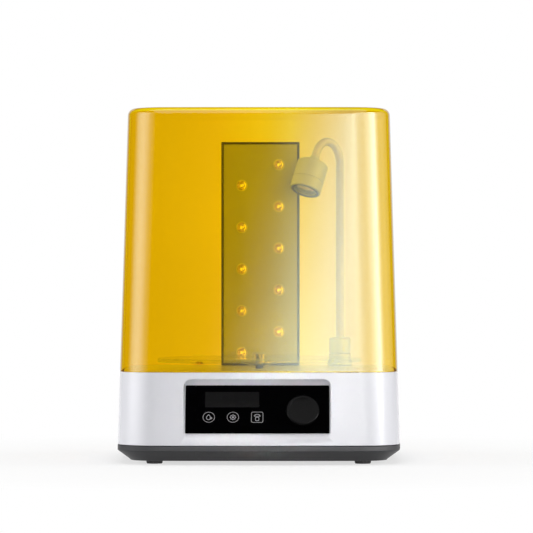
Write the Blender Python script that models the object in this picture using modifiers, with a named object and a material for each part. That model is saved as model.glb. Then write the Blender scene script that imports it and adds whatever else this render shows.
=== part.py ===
"""A desktop wash and cure station for resin prints, set up for curing: base, turntable, LED tower,
gooseneck lamp and amber cover. Metres, +Z up, front towards -Y, origin on the table under the middle."""

import math

import bmesh
import bpy
from mathutils import Matrix, Vector

# Driving dimensions of the casing. It tapers by DRAFT on each side for every metre of height.
WIDTH = 0.2643
DEPTH = 0.240
HEIGHT = 0.3277
DRAFT = 0.031
CORNER_RADIUS = 0.035
BULGE = 0.030  # how far the four sides bow out, as a share of the half depth or width
GAP = 0.0003  # between neighbouring pieces

FOOT_HEIGHT = 0.0032
CREASE_Z = 0.0124  # between the tray's chamfer and its upright band
TRAY_TOP_Z = 0.0174
HOUSING_BOTTOM_Z = 0.0177
RIM_Z = 0.0845  # top of the housing's outer rim, where the cover stands
DECK_Z = 0.0856
DECK_UNDER_Z = 0.0826
WALL = 0.0028
FLOOR_Z = 0.0061

# The control panel lies in a recess that leans back from the front.
PANEL_X = -0.001
PANEL_TILT = math.radians(31)
PANEL_WIDTH = 0.132
PANEL_LENGTH = 0.0498
PANEL_THICKNESS = 0.0015
RECESS_WIDTH = 0.1345
RECESS_LOW_Z = 0.0246
RECESS_HIGH_Z = 0.0785
RECESS_CORNER = 0.007
PANEL_CENTRE_Z = 0.0500
FRONT_AT_RECESS_Y = -0.1198

# Places on the panel, from its centre: across, and up the slope.
DISPLAY_AT = (-0.0231, 0.0097)
DISPLAY_SIZE = (0.0496, 0.0162)
KNOB_AT = (0.0417, -0.0034)
KNOB_RADIUS = 0.0154
KNOB_TRAVEL = 0.0007

# The drive and the turntable turn about a vertical axis behind the recess.
DRIVE_Y = -0.0165
TURNTABLE_RADIUS = 0.096
TURNTABLE_LOW_Z = 0.0918
TURNTABLE_HIGH_Z = 0.0956
SPINDLE_RADIUS = 0.00375
SPINDLE_TOP_Z = 0.0990

# The LED tower.
TOWER_HALF_WIDTH = 0.038
TOWER_FRONT_Y = 0.082
TOWER_BACK_Y = 0.106
TOWER_TOP_Z = 0.3026
TOWER_WALL = 0.002
LED_COUNT = 10
LED_X = 0.018
LED_LOW_Z = 0.0981
LED_PITCH = 0.02028
LED_RADIUS = 0.0049

# The gooseneck lamp: a straight neck, an arch towards the turntable, and a head.
LAMP_X = 0.077
LAMP_Y = 0.080
NECK_RADIUS = 0.0038
NECK_BALL_RADIUS = 0.0043
NECK_START_Z = 0.1132
NECK_JOINTS_Z = (0.122, 0.175, 0.228)
ARCH_START_Z = 0.281
ARCH_RADIUS = 0.021
ARCH_ANGLE = math.radians(153)
LAMP_HEADING = math.radians(234.4)  # the way the arch leans, about +Z from +X
HEAD_RADIUS = 0.015
HEAD_LENGTH = 0.0295
HEAD_OFFSET = 0.0115  # from the last neck joint to the head's top face

CORNER_STEPS = 6
SIDE_STEPS = 4
COLLECTION = "wash_and_cure_station"

# Colour, roughness, metallic, alpha.
MATERIALS = {
    "amber_cover": ((0.93, 0.55, 0.02), 0.12, 0.0, 0.45),
    "white_plastic": ((0.86, 0.86, 0.88), 0.35, 0.0, 1.0),
    "dark_plastic": ((0.08, 0.08, 0.085), 0.5, 0.0, 1.0),
    "grey_plastic": ((0.33, 0.33, 0.34), 0.45, 0.0, 1.0),
    "black_gloss": ((0.01, 0.01, 0.012), 0.1, 0.0, 1.0),
    "rubber": ((0.03, 0.03, 0.03), 0.8, 0.0, 1.0),
    "steel": ((0.6, 0.6, 0.62), 0.3, 1.0, 1.0),
    "aluminium": ((0.75, 0.75, 0.77), 0.35, 1.0, 1.0),
    "circuit_board": ((0.02, 0.16, 0.07), 0.5, 0.0, 1.0),
    "clear_plastic": ((0.9, 0.92, 0.92), 0.08, 0.0, 0.4),
    "magnet": ((0.7, 0.7, 0.72), 0.2, 1.0, 1.0),
}


# ---------------------------------------------------------------- tools


def start_scene():
    for obj in list(bpy.data.objects):
        bpy.data.objects.remove(obj, do_unlink=True)
    for name in (COLLECTION, "cutters"):
        collection = bpy.data.collections.new(name)
        bpy.context.scene.collection.children.link(collection)


def material(name):
    if name in bpy.data.materials:
        return bpy.data.materials[name]
    colour, roughness, metallic, alpha = MATERIALS[name]
    made = bpy.data.materials.new(name)
    made.use_nodes = True
    shader = made.node_tree.nodes["Principled BSDF"]
    shader.inputs["Base Color"].default_value = (*colour, 1.0)
    shader.inputs["Roughness"].default_value = roughness
    shader.inputs["Metallic"].default_value = metallic
    shader.inputs["Alpha"].default_value = alpha
    return made


def new_object(name, data, finish=None, parent=None):
    """An object in the parts' collection, or in the cutters' one if it has no finish."""
    obj = bpy.data.objects.new(name, data)
    bpy.data.collections[COLLECTION if finish else "cutters"].objects.link(obj)
    if finish:
        obj.data.materials.append(material(finish))
    else:
        obj.hide_render = True
        obj.display_type = "WIRE"
    obj.parent = parent
    return obj


def object_from_bmesh(name, mesh, finish=None, parent=None):
    bmesh.ops.recalc_face_normals(mesh, faces=mesh.faces)
    data = bpy.data.meshes.new(name)
    mesh.to_mesh(data)
    mesh.free()
    return new_object(name, data, finish, parent)


def empty(name, location, rotation=(0, 0, 0), parent=None):
    obj = bpy.data.objects.new(name, None)
    bpy.data.collections[COLLECTION].objects.link(obj)
    obj.location = location
    obj.rotation_euler = rotation
    obj.parent = parent
    return obj


def box(name, low, high, finish=None, parent=None, bevel=0.0):
    """A box between two corners, with its edges rounded by bevel."""
    low, high = Vector(low), Vector(high)
    mesh = bmesh.new()
    bmesh.ops.create_cube(mesh, size=1)
    bmesh.ops.scale(mesh, vec=high - low, verts=mesh.verts)
    obj = object_from_bmesh(name, mesh, finish, parent)
    obj.location = (low + high) / 2
    if bevel:
        rounding = obj.modifiers.new("rounding", "BEVEL")
        rounding.width = bevel
        rounding.segments = 2
    return obj


def cylinder(name, radius, low, high, finish=None, parent=None, at=(0, 0), top_radius=None, sides=32):
    """An upright cylinder or cone between two heights."""
    mesh = bmesh.new()
    bmesh.ops.create_cone(
        mesh,
        cap_ends=True,
        segments=sides,
        radius1=radius,
        radius2=radius if top_radius is None else top_radius,
        depth=high - low,
    )
    obj = object_from_bmesh(name, mesh, finish, parent)
    obj.location = (at[0], at[1], (low + high) / 2)
    return obj


def turned(name, profile, finish=None, parent=None, location=(0, 0, 0), closed=False, steps=24):
    """A profile of (radius, height) points, down its outer side, spun about Z. closed makes a ring."""
    mesh = bmesh.new()
    points = [mesh.verts.new((radius, 0, height)) for radius, height in profile]
    for first, second in zip(points, points[1:] + points[:1] if closed else points[1:]):
        mesh.edges.new((first, second))
    data = bpy.data.meshes.new(name)
    mesh.to_mesh(data)
    mesh.free()
    obj = new_object(name, data, finish, parent)
    obj.location = location
    spin = obj.modifiers.new("spin", "SCREW")
    spin.steps = steps
    spin.render_steps = steps
    spin.use_merge_vertices = True
    spin.merge_threshold = 0.00001
    return obj


def boolean(target, other, operation):
    """Cuts other out of target, or joins it on. other stays in the cutters' collection."""
    change = target.modifiers.new(f"{operation.lower()} {other.name}", "BOOLEAN")
    change.operation = operation
    change.object = other


def cut(target, *others):
    for other in others:
        boolean(target, other, "DIFFERENCE")


def join(target, *others):
    for other in others:
        boolean(target, other, "UNION")


def rounded_outline(half_x, half_y, radius, corner_steps=CORNER_STEPS, side_steps=1):
    """Points anticlockwise round a rectangle with round corners."""
    arcs = []
    for quarter, (sign_x, sign_y) in enumerate(((1, 1), (-1, 1), (-1, -1), (1, -1))):
        centre = Vector((sign_x * (half_x - radius), sign_y * (half_y - radius)))
        angles = [math.radians(90 * (quarter + step / corner_steps)) for step in range(corner_steps + 1)]
        arcs.append([centre + radius * Vector((math.cos(angle), math.sin(angle))) for angle in angles])
    points = []
    for arc, following in zip(arcs, arcs[1:] + arcs[:1]):
        points += arc
        points += [arc[-1].lerp(following[0], step / side_steps) for step in range(1, side_steps)]
    return points


def casing_outline(height, inset):
    """The casing's outline at a height, inset from its tapered outer face."""
    half_x = WIDTH / 2 - DRAFT * (height - HOUSING_BOTTOM_Z) - inset
    half_y = DEPTH / 2 - DRAFT * (height - HOUSING_BOTTOM_Z) - inset
    radius = max(CORNER_RADIUS - inset, 0.004)
    outline = rounded_outline(half_x, half_y, radius, side_steps=SIDE_STEPS)
    return [
        Vector(
            (
                point.x * (1 - BULGE * (point.y / (DEPTH / 2)) ** 2),
                point.y * (1 - BULGE * (point.x / (WIDTH / 2)) ** 2),
                height,
            )
        )
        for point in outline
    ]


def lofted(name, sections, finish=None, parent=None):
    """A closed solid through rings of points, with its first and last rings filled."""
    mesh = bmesh.new()
    rings = [[mesh.verts.new(point) for point in section] for section in sections]
    for lower, upper in zip(rings, rings[1:]):
        for index in range(len(lower)):
            following = (index + 1) % len(lower)
            mesh.faces.new((lower[index], lower[following], upper[following], upper[index]))
    mesh.faces.new(rings[0])
    mesh.faces.new(rings[-1])
    return object_from_bmesh(name, mesh, finish, parent)


def casing_solid(name, levels, finish):
    """A casing shell from (height, inset) levels, from its inside, round its rim, to its outside."""
    return lofted(name, [casing_outline(height, inset) for height, inset in levels], finish)


def fillet_levels(height, inset, radius, steps):
    """Levels round the top edge of the casing, from an upright wall at height to the flat top."""
    angles = [math.radians(90 * step / steps) for step in range(steps + 1)]
    return [
        (height + radius * math.sin(angle), inset + radius * (1 - math.cos(angle))) for angle in angles
    ]


# ---------------------------------------------------------------- base

SCREW_PLACES = [(x, y) for x in (-0.100, 0.100) for y in (-0.055, 0.055)]
FOOT_PLACES = {
    "foot_front_left": (-0.096, -0.088),
    "foot_front_right": (0.096, -0.088),
    "foot_rear_left": (-0.096, 0.088),
    "foot_rear_right": (0.096, 0.088),
}
FOOT_RADIUS = 0.008
POCKET_DEPTH = 0.0015
SCREW_SEAT_Z = 0.0200
TRAY_BOSS_TOP_Z = 0.0257
SHANK_RADIUS = 0.0015
SCREW_HEAD_RADIUS = 0.0033
BOARD_LOW_Z = 0.0120
BOARD_X = (-0.088, -0.018)
BOARD_Y = (0.015, 0.080)
STANDOFF_PLACES = [(x, y) for x in (-0.084, -0.022) for y in (0.019, 0.076)]


def make_tray():
    """The base tray: a chamfered band, a lip that stands inside the housing, and bosses for the screws."""
    chamfer = 0.0128
    lip_inset = WALL + GAP
    lip = 0.0018
    lip_top_z = 0.0214
    tray = casing_solid(
        "base_tray",
        [
            (FLOOR_Z, chamfer + 0.0025),
            (CREASE_Z, lip_inset + lip),
            (lip_top_z, lip_inset + lip),
            (lip_top_z, lip_inset),
            (TRAY_TOP_Z, lip_inset),
            (TRAY_TOP_Z, 0.0),
            (CREASE_Z, 0.0),
            (FOOT_HEIGHT, chamfer),
        ],
        "dark_plastic",
    )
    for name, place in FOOT_PLACES.items():
        pocket_top = FOOT_HEIGHT + POCKET_DEPTH
        cut(tray, cylinder(f"{name}_pocket", FOOT_RADIUS + GAP, 0.0, pocket_top, at=place, sides=24))
    for number, place in enumerate(SCREW_PLACES, 1):
        join(tray, cylinder(f"tray_boss_{number}", 0.0055, 0.0050, TRAY_BOSS_TOP_Z, at=place, sides=20))
        head_radius = SCREW_HEAD_RADIUS + 2 * GAP
        cut(
            tray,
            cylinder(f"tray_counterbore_{number}", head_radius, 0.0, SCREW_SEAT_Z, at=place, sides=20),
            cylinder(f"tray_hole_{number}", SHANK_RADIUS + GAP, 0.0, 0.030, at=place, sides=16),
        )
    for number, place in enumerate(STANDOFF_PLACES, 1):
        join(tray, cylinder(f"standoff_{number}", 0.003, 0.0050, BOARD_LOW_Z - GAP, at=place, sides=12))
    return tray


def make_feet():
    for name, place in FOOT_PLACES.items():
        top = FOOT_HEIGHT + POCKET_DEPTH - GAP
        cylinder(name, FOOT_RADIUS - 0.0008, 0.0, top, "rubber", at=place, top_radius=FOOT_RADIUS, sides=24)


def make_case_screws():
    for number, (x, y) in enumerate(SCREW_PLACES, 1):
        head_top = SCREW_SEAT_Z - GAP
        screw = turned(
            f"case_screw_{number}",
            [
                (0, 0.0420),
                (SHANK_RADIUS - 0.0005, 0.0420),
                (SHANK_RADIUS, 0.0410),
                (SHANK_RADIUS, head_top),
                (SCREW_HEAD_RADIUS, head_top),
                (SCREW_HEAD_RADIUS, head_top - 0.0020),
                (0, head_top - 0.0027),
            ],
            "steel",
            location=(x, y, 0),
            steps=16,
        )
        cut(screw, cylinder(f"screw_socket_{number}", 0.0013, 0.0, head_top - 0.0012, at=(x, y), sides=6))


def recess_prism(name, grow, front_y, plane_shift):
    """The space in front of the recess's sloping plane. grow widens it, plane_shift moves the plane in."""
    middle_z = (RECESS_LOW_Z + RECESS_HIGH_Z) / 2
    half_height = (RECESS_HIGH_Z - RECESS_LOW_Z) / 2 + grow
    outline = rounded_outline(RECESS_WIDTH / 2 + grow, half_height, RECESS_CORNER + grow, corner_steps=6)
    front = [Vector((PANEL_X + point.x, front_y, middle_z + point.y)) for point in outline]
    back = []
    for point in front:
        plane_y = FRONT_AT_RECESS_Y + (point.z - RECESS_LOW_Z) * math.tan(PANEL_TILT)
        back.append(Vector((point.x, plane_y + plane_shift / math.cos(PANEL_TILT), point.z)))
    return lofted(name, [front, back])


def make_housing():
    groove_floor_z = 0.0812
    housing = casing_solid(
        "upper_housing",
        [
            (DECK_UNDER_Z, 0.0060),
            (groove_floor_z - WALL, 0.0060),
            (groove_floor_z - WALL, WALL),
            (HOUSING_BOTTOM_Z, WALL),
            (HOUSING_BOTTOM_Z, 0.0),
            (RIM_Z, 0.0),
            (RIM_Z, 0.0012),
            (groove_floor_z, 0.0012),
            (groove_floor_z, 0.0036),
            (DECK_Z, 0.0036),
        ],
        "white_plastic",
    )
    join(housing, recess_prism("recess_pan", 0.0025, -0.1172, 0.0025))
    cut(housing, recess_prism("recess_space", 0.0, -0.1400, 0.0))
    for number, place in enumerate(SCREW_PLACES, 1):
        join(housing, cylinder(f"housing_boss_{number}", 0.0050, 0.0260, 0.0835, at=place, sides=20))
        cut(housing, cylinder(f"boss_hole_{number}", SHANK_RADIUS + GAP, 0.0100, 0.0460, at=place, sides=16))
    cut(
        housing,
        cylinder("bush_hole", 0.0070, 0.0700, 0.0900, at=(0, DRIVE_Y)),
        box("tower_wire_hole", (-0.010, 0.090, 0.070), (0.010, 0.098, 0.090)),
        cylinder("lamp_wire_hole", 0.0040, 0.0700, 0.0900, at=(LAMP_X, LAMP_Y), sides=20),
        box("inlet_hole", INLET_LOW - GAP_BOX, INLET_HIGH + GAP_BOX),
        box("switch_hole", SWITCH_LOW - GAP_BOX, SWITCH_HIGH + GAP_BOX),
    )
    return housing


# ---------------------------------------------------------------- rear sockets

GAP_BOX = Vector((GAP, 0.003, GAP))
SOCKET_Z = 0.045
REAR_FACE_Y = 0.1178
INLET_X = -0.070
INLET_LOW = Vector((INLET_X - 0.0055, REAR_FACE_Y - 0.0120, SOCKET_Z - 0.0055))
INLET_HIGH = Vector((INLET_X + 0.0055, REAR_FACE_Y, SOCKET_Z + 0.0055))
SWITCH_X = 0.070
SWITCH_LOW = Vector((SWITCH_X - 0.0105, REAR_FACE_Y - 0.0130, SOCKET_Z - 0.0075))
SWITCH_HIGH = Vector((SWITCH_X + 0.0105, REAR_FACE_Y, SOCKET_Z + 0.0075))
ROCKER_HALF_X = 0.0060
ROCKER_HALF_Z = 0.0047
ROCKER_THROW = math.radians(16)
ROCKER_PIVOT_DEPTH = 0.0015


def make_inlet():
    inlet = box("dc_inlet", INLET_LOW, INLET_HIGH, "dark_plastic")
    turn = (math.radians(90), 0, 0)
    bore = cylinder("inlet_bore", 0.0032, -0.010, 0.010, sides=20)
    bore.location = (INLET_X, REAR_FACE_Y, SOCKET_Z)
    bore.rotation_euler = turn
    pin = cylinder("inlet_pin", 0.0010, -0.0050, 0.0050, sides=12)
    pin.location = (INLET_X, REAR_FACE_Y - 0.0060, SOCKET_Z)
    pin.rotation_euler = turn
    cut(inlet, bore)
    join(inlet, pin)


def make_switch():
    frame = box("switch_frame", SWITCH_LOW, SWITCH_HIGH, "dark_plastic")
    clearance = 0.0009
    reach = Vector((ROCKER_HALF_X + GAP, 0.0100, ROCKER_HALF_Z + clearance))
    middle = Vector((SWITCH_X, REAR_FACE_Y, SOCKET_Z))
    cut(frame, box("switch_well", middle - reach, middle + reach))
    pivot = empty("switch_pivot", (SWITCH_X, REAR_FACE_Y - ROCKER_PIVOT_DEPTH, SOCKET_Z))
    proud = ROCKER_HALF_Z * math.tan(ROCKER_THROW)
    root = (-0.0035, ROCKER_HALF_Z * 0.55)
    section = [
        (root[0], -root[1]),
        (root[0], root[1]),
        (ROCKER_PIVOT_DEPTH + proud, ROCKER_HALF_Z),
        (ROCKER_PIVOT_DEPTH, 0.0),
        (ROCKER_PIVOT_DEPTH, -ROCKER_HALF_Z),
    ]
    sides = [[Vector((x, y, z)) for y, z in section] for x in (-ROCKER_HALF_X, ROCKER_HALF_X)]
    lofted("switch_rocker", sides, "dark_plastic", pivot)


# ---------------------------------------------------------------- control panel and knob

PLANE_Y = FRONT_AT_RECESS_Y + (PANEL_CENTRE_Z - RECESS_LOW_Z) * math.tan(PANEL_TILT)
PAN_THICKNESS = 0.0025
BOARD_FACE = -0.0107  # the control board's front, behind the recess's plane
BOARD_THICKNESS = 0.0016
BORE_RADIUS = 0.0033
SHAFT_RADIUS = 0.0030
BUSHING_RADIUS = 0.0040


def panel_frame(name):
    """An empty on the recess's plane: X across, Y up the slope, Z out of the panel."""
    return empty(name, (PANEL_X, PLANE_Y, PANEL_CENTRE_Z), (math.radians(90) - PANEL_TILT, 0, 0))


def cut_panel_windows(housing, frame):
    margin = 0.0006
    half_x, half_y = DISPLAY_SIZE[0] / 2 + margin, DISPLAY_SIZE[1] / 2 + margin
    low = (DISPLAY_AT[0] - half_x, DISPLAY_AT[1] - half_y, -0.020)
    high = (DISPLAY_AT[0] + half_x, DISPLAY_AT[1] + half_y, 0.010)
    cut(
        housing,
        box("display_window", low, high, parent=frame),
        cylinder("encoder_hole", BUSHING_RADIUS + GAP, -0.020, 0.010, parent=frame, at=KNOB_AT, sides=24),
    )


def make_control_panel(frame):
    outline = rounded_outline(PANEL_WIDTH / 2, PANEL_LENGTH / 2, 0.0010, corner_steps=3)
    levels = (GAP, GAP + PANEL_THICKNESS)
    sections = [[Vector((point.x, point.y, height)) for point in outline] for height in levels]
    panel = lofted("control_panel", sections, "black_gloss", frame)
    cut(panel, cylinder("shaft_hole", SHAFT_RADIUS + 0.0005, -0.010, 0.010, parent=frame, at=KNOB_AT))
    half_x, half_y = DISPLAY_SIZE[0] / 2, DISPLAY_SIZE[1] / 2
    low = (DISPLAY_AT[0] - half_x, DISPLAY_AT[1] - half_y, BOARD_FACE + GAP)
    high = (DISPLAY_AT[0] + half_x, DISPLAY_AT[1] + half_y, 0.0)
    box("display_module", low, high, "black_gloss", frame)
    low, high = (-0.060, -0.021, BOARD_FACE - BOARD_THICKNESS), (0.060, 0.021, BOARD_FACE)
    box("control_board", low, high, "circuit_board", frame)


def make_encoder(frame):
    x, y = KNOB_AT
    half = 0.0065
    body_top = -PAN_THICKNESS - GAP
    body = box(
        "encoder_body",
        (x - half, y - half, BOARD_FACE + GAP),
        (x + half, y + half, body_top),
        "dark_plastic",
        frame,
    )
    join(body, cylinder("encoder_bushing", BUSHING_RADIUS, body_top - 0.001, -GAP, parent=frame, at=KNOB_AT))
    cut(body, cylinder("encoder_bore", BORE_RADIUS, -0.0097, 0.010, parent=frame, at=KNOB_AT))
    cylinder("encoder_plunger", 0.0025, -0.0088, -0.0074, "steel", frame, at=KNOB_AT, sides=20)
    cylinder("encoder_shaft", SHAFT_RADIUS, -0.0071, 0.0052, "steel", frame, at=KNOB_AT, sides=24)


def make_knob(frame):
    bottom = GAP + PANEL_THICKNESS + KNOB_TRAVEL + 0.0004
    top = 0.0074
    ceiling = 0.0055
    turned(
        "knob",
        [
            (0, top),
            (KNOB_RADIUS - 0.0009, top),
            (KNOB_RADIUS, top - 0.0009),
            (KNOB_RADIUS, bottom),
            (KNOB_RADIUS - 0.0016, bottom),
            (KNOB_RADIUS - 0.0016, ceiling),
            (0.0055, ceiling),
            (0.0055, bottom),
            (BORE_RADIUS, bottom),
            (BORE_RADIUS, ceiling),
            (0, ceiling),
        ],
        "black_gloss",
        frame,
        (*KNOB_AT, 0),
        steps=36,
    )


# ---------------------------------------------------------------- drive and turntable

DRIVE_AT = (0, DRIVE_Y, 0)
ROTOR_LOW_Z = 0.0700
ROTOR_HIGH_Z = 0.0770
ROTOR_RADIUS = 0.032
ROTOR_HUB_LOW_Z = 0.0600
SOCKET_RADIUS = SPINDLE_RADIUS + GAP
MAGNET_RADIUS = 0.006
MAGNET_X = 0.020
BRACKET_Z = 0.0543
GEARBOX_TOP_Z = 0.0540


def make_motor():
    motor = turned(
        "gear_motor",
        [
            (0, 0.0560),
            (0.0060, 0.0560),
            (0.0060, GEARBOX_TOP_Z),
            (0.0185, GEARBOX_TOP_Z),
            (0.0185, 0.0330),
            (0.0140, 0.0330),
            (0.0140, 0.0080),
            (0, 0.0080),
        ],
        "steel",
        location=DRIVE_AT,
    )
    cut(motor, cylinder("gearbox_bore", SHAFT_RADIUS + GAP, 0.0500, 0.0600, at=DRIVE_AT[:2], sides=20))
    cylinder("drive_shaft", SHAFT_RADIUS, 0.0503, 0.0687, "steel", at=DRIVE_AT[:2], sides=20)


def make_motor_bracket():
    """A bent strap that hangs the motor from the deck."""
    half_plate = 0.0345
    flange = 0.010
    sheet = 0.0018
    top = DECK_UNDER_Z - GAP - sheet
    bends = [
        (-half_plate - flange, top),
        (-half_plate, top),
        (-half_plate, BRACKET_Z),
        (half_plate, BRACKET_Z),
        (half_plate, top),
        (half_plate + flange, top),
    ]
    half_width = 0.020
    mesh = bmesh.new()
    rows = [[mesh.verts.new((x, y, z)) for x, z in bends] for y in (-half_width, half_width)]
    for index in range(len(bends) - 1):
        mesh.faces.new((rows[0][index], rows[0][index + 1], rows[1][index + 1], rows[1][index]))
    bracket = object_from_bmesh("motor_bracket", mesh, "steel")
    bracket.location = DRIVE_AT
    thickness = bracket.modifiers.new("thickness", "SOLIDIFY")
    thickness.thickness = sheet
    thickness.offset = 1
    thickness.use_even_offset = True
    cut(bracket, cylinder("bracket_hole", 0.0063, 0.0400, 0.0650, at=DRIVE_AT[:2], sides=24))


def make_rotor():
    rotor = turned(
        "magnet_rotor",
        [
            (0, ROTOR_LOW_Z),
            (SOCKET_RADIUS, ROTOR_LOW_Z),
            (SOCKET_RADIUS, ROTOR_HIGH_Z),
            (ROTOR_RADIUS, ROTOR_HIGH_Z),
            (ROTOR_RADIUS, ROTOR_LOW_Z),
            (0.0080, ROTOR_LOW_Z),
            (0.0080, ROTOR_HUB_LOW_Z),
            (SHAFT_RADIUS + GAP, ROTOR_HUB_LOW_Z),
            (SHAFT_RADIUS + GAP, ROTOR_LOW_Z - 0.0010),
            (0, ROTOR_LOW_Z - 0.0010),
        ],
        "dark_plastic",
        location=DRIVE_AT,
    )
    pocket_floor = ROTOR_HIGH_Z - 0.0046
    above = ROTOR_HIGH_Z + 0.0030
    low, high = pocket_floor + GAP, ROTOR_HIGH_Z - GAP
    for number, x in enumerate((-MAGNET_X, MAGNET_X), 1):
        at = (x, DRIVE_Y)
        pocket = f"magnet_pocket_{number}"
        cut(rotor, cylinder(pocket, MAGNET_RADIUS + GAP, pocket_floor, above, at=at, sides=24))
        cylinder(f"rotor_magnet_{number}", MAGNET_RADIUS, low, high, "magnet", at=at, sides=24)


def make_spindle():
    turned(
        "spindle_bush",
        [
            (SOCKET_RADIUS, DECK_Z - GAP),
            (0.0067, DECK_Z - GAP),
            (0.0067, DECK_UNDER_Z - GAP),
            (0.0100, DECK_UNDER_Z - GAP),
            (0.0100, DECK_UNDER_Z - 0.0018),
            (SOCKET_RADIUS, DECK_UNDER_Z - 0.0018),
        ],
        "dark_plastic",
        location=DRIVE_AT,
        closed=True,
    )
    spindle = cylinder(
        "drive_spindle",
        SPINDLE_RADIUS,
        ROTOR_LOW_Z + GAP,
        SPINDLE_TOP_Z,
        "dark_plastic",
        at=DRIVE_AT[:2],
        sides=24,
    )
    flat = SPINDLE_RADIUS * 0.8
    for number, side in enumerate((-1, 1), 1):
        low = Vector((-0.01, side * flat, TURNTABLE_LOW_Z - 0.002)) + Vector(DRIVE_AT)
        high = Vector((0.01, side * (flat + 0.01), 0.120)) + Vector(DRIVE_AT)
        corners = [Vector(map(min, low, high)), Vector(map(max, low, high))]
        cut(spindle, box(f"spindle_flat_{number}", *corners))


def make_turntable():
    plate_bore = 0.0073
    turned(
        "turntable_plate",
        [
            (plate_bore, TURNTABLE_HIGH_Z),
            (TURNTABLE_RADIUS - 0.0008, TURNTABLE_HIGH_Z),
            (TURNTABLE_RADIUS, TURNTABLE_HIGH_Z - 0.0008),
            (TURNTABLE_RADIUS, TURNTABLE_LOW_Z + 0.0008),
            (TURNTABLE_RADIUS - 0.0008, TURNTABLE_LOW_Z),
            (plate_bore, TURNTABLE_LOW_Z),
        ],
        "clear_plastic",
        location=DRIVE_AT,
        closed=True,
        steps=56,
    )
    hub_top = TURNTABLE_LOW_Z - GAP
    turned(
        "turntable_hub",
        [
            (0, SPINDLE_TOP_Z + 0.0017),
            (0.0055, SPINDLE_TOP_Z + 0.0017),
            (0.0070, SPINDLE_TOP_Z + 0.0002),
            (0.0070, hub_top),
            (0.0190, hub_top),
            (0.0190, hub_top - 0.0008),
            (0.0080, 0.0885),
            (SOCKET_RADIUS, 0.0885),
            (SOCKET_RADIUS, SPINDLE_TOP_Z + GAP),
            (0, SPINDLE_TOP_Z + GAP),
        ],
        "clear_plastic",
        location=DRIVE_AT,
    )


# ---------------------------------------------------------------- LED tower


def led_places():
    """Centres of the LEDs, (x, z), in two staggered columns from the bottom."""
    return [((-LED_X, LED_X)[index % 2], LED_LOW_Z + LED_PITCH * index) for index in range(LED_COUNT)]


def make_tower():
    foot_z = DECK_Z + GAP
    housing = box(
        "tower_housing",
        (-TOWER_HALF_WIDTH, TOWER_FRONT_Y, foot_z),
        (TOWER_HALF_WIDTH, TOWER_BACK_Y, TOWER_TOP_Z),
        "dark_plastic",
    )
    inner_x = TOWER_HALF_WIDTH - TOWER_WALL
    inner_low_z, inner_high_z = foot_z + TOWER_WALL, TOWER_TOP_Z - TOWER_WALL
    back = TOWER_BACK_Y - TOWER_WALL
    cut(housing, box("tower_space", (-inner_x, 0.070, inner_low_z), (inner_x, back, inner_high_z)))
    turn = (math.radians(90), 0, 0)
    board_y = 0.0880
    post_half = 0.008
    for number, height in enumerate((0.120, 0.270), 1):
        post = cylinder(f"tower_post_{number}", 0.003, -post_half, post_half, sides=16)
        post.location = (0, board_y + BOARD_THICKNESS + GAP + post_half, height)
        post.rotation_euler = turn
        join(housing, post)
    face = box(
        "tower_face",
        (-inner_x + GAP, TOWER_FRONT_Y + GAP, inner_low_z + GAP),
        (inner_x - GAP, TOWER_FRONT_Y + 0.0023, inner_high_z - GAP),
        "grey_plastic",
    )
    board_low, board_high = (-0.030, board_y, 0.0920), (0.030, board_y + BOARD_THICKNESS, 0.2970)
    box("led_board", board_low, board_high, "aluminium")
    dome_start = board_y - GAP - TOWER_FRONT_Y
    dome_height = 0.0035
    for number, (x, z) in enumerate(led_places(), 1):
        hole = cylinder(f"led_hole_{number}", LED_RADIUS + 0.0006, -0.010, 0.010, sides=16)
        hole.location = (x, TOWER_FRONT_Y, z)
        hole.rotation_euler = turn
        cut(face, hole)
        angles = [math.radians(90 - 22.5 * step) for step in range(5)]
        dome = [(LED_RADIUS * math.cos(a), dome_start + dome_height * math.sin(a)) for a in angles]
        dome[0] = (0, dome_start + dome_height)
        lens = turned(
            f"uv_led_{number:02d}",
            dome + [(LED_RADIUS, 0), (0, 0)],
            "clear_plastic",
            location=(x, board_y - GAP, z),
            steps=16,
        )
        lens.rotation_euler = turn


# ---------------------------------------------------------------- gooseneck lamp

LAMP_LEAN = Vector((math.cos(LAMP_HEADING), math.sin(LAMP_HEADING), 0))
STRAIGHT_LENGTH = ARCH_START_Z - NECK_START_Z
ARCH_LENGTH = ARCH_RADIUS * ARCH_ANGLE
NECK_JOINTS = [height - NECK_START_Z for height in NECK_JOINTS_Z] + [
    STRAIGHT_LENGTH,
    STRAIGHT_LENGTH + ARCH_LENGTH / 2,
    STRAIGHT_LENGTH + ARCH_LENGTH,
]
BALL_CLEARANCE = NECK_BALL_RADIUS + 0.00035


def neck_point(distance):
    """The point on the neck's centreline at a distance from its start."""
    angle = max(distance - STRAIGHT_LENGTH, 0) / ARCH_RADIUS
    lean = ARCH_RADIUS * (1 - math.cos(angle))
    rise = min(distance, STRAIGHT_LENGTH) + ARCH_RADIUS * math.sin(angle)
    return Vector((LAMP_X, LAMP_Y, NECK_START_Z + rise)) + lean * LAMP_LEAN


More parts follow.
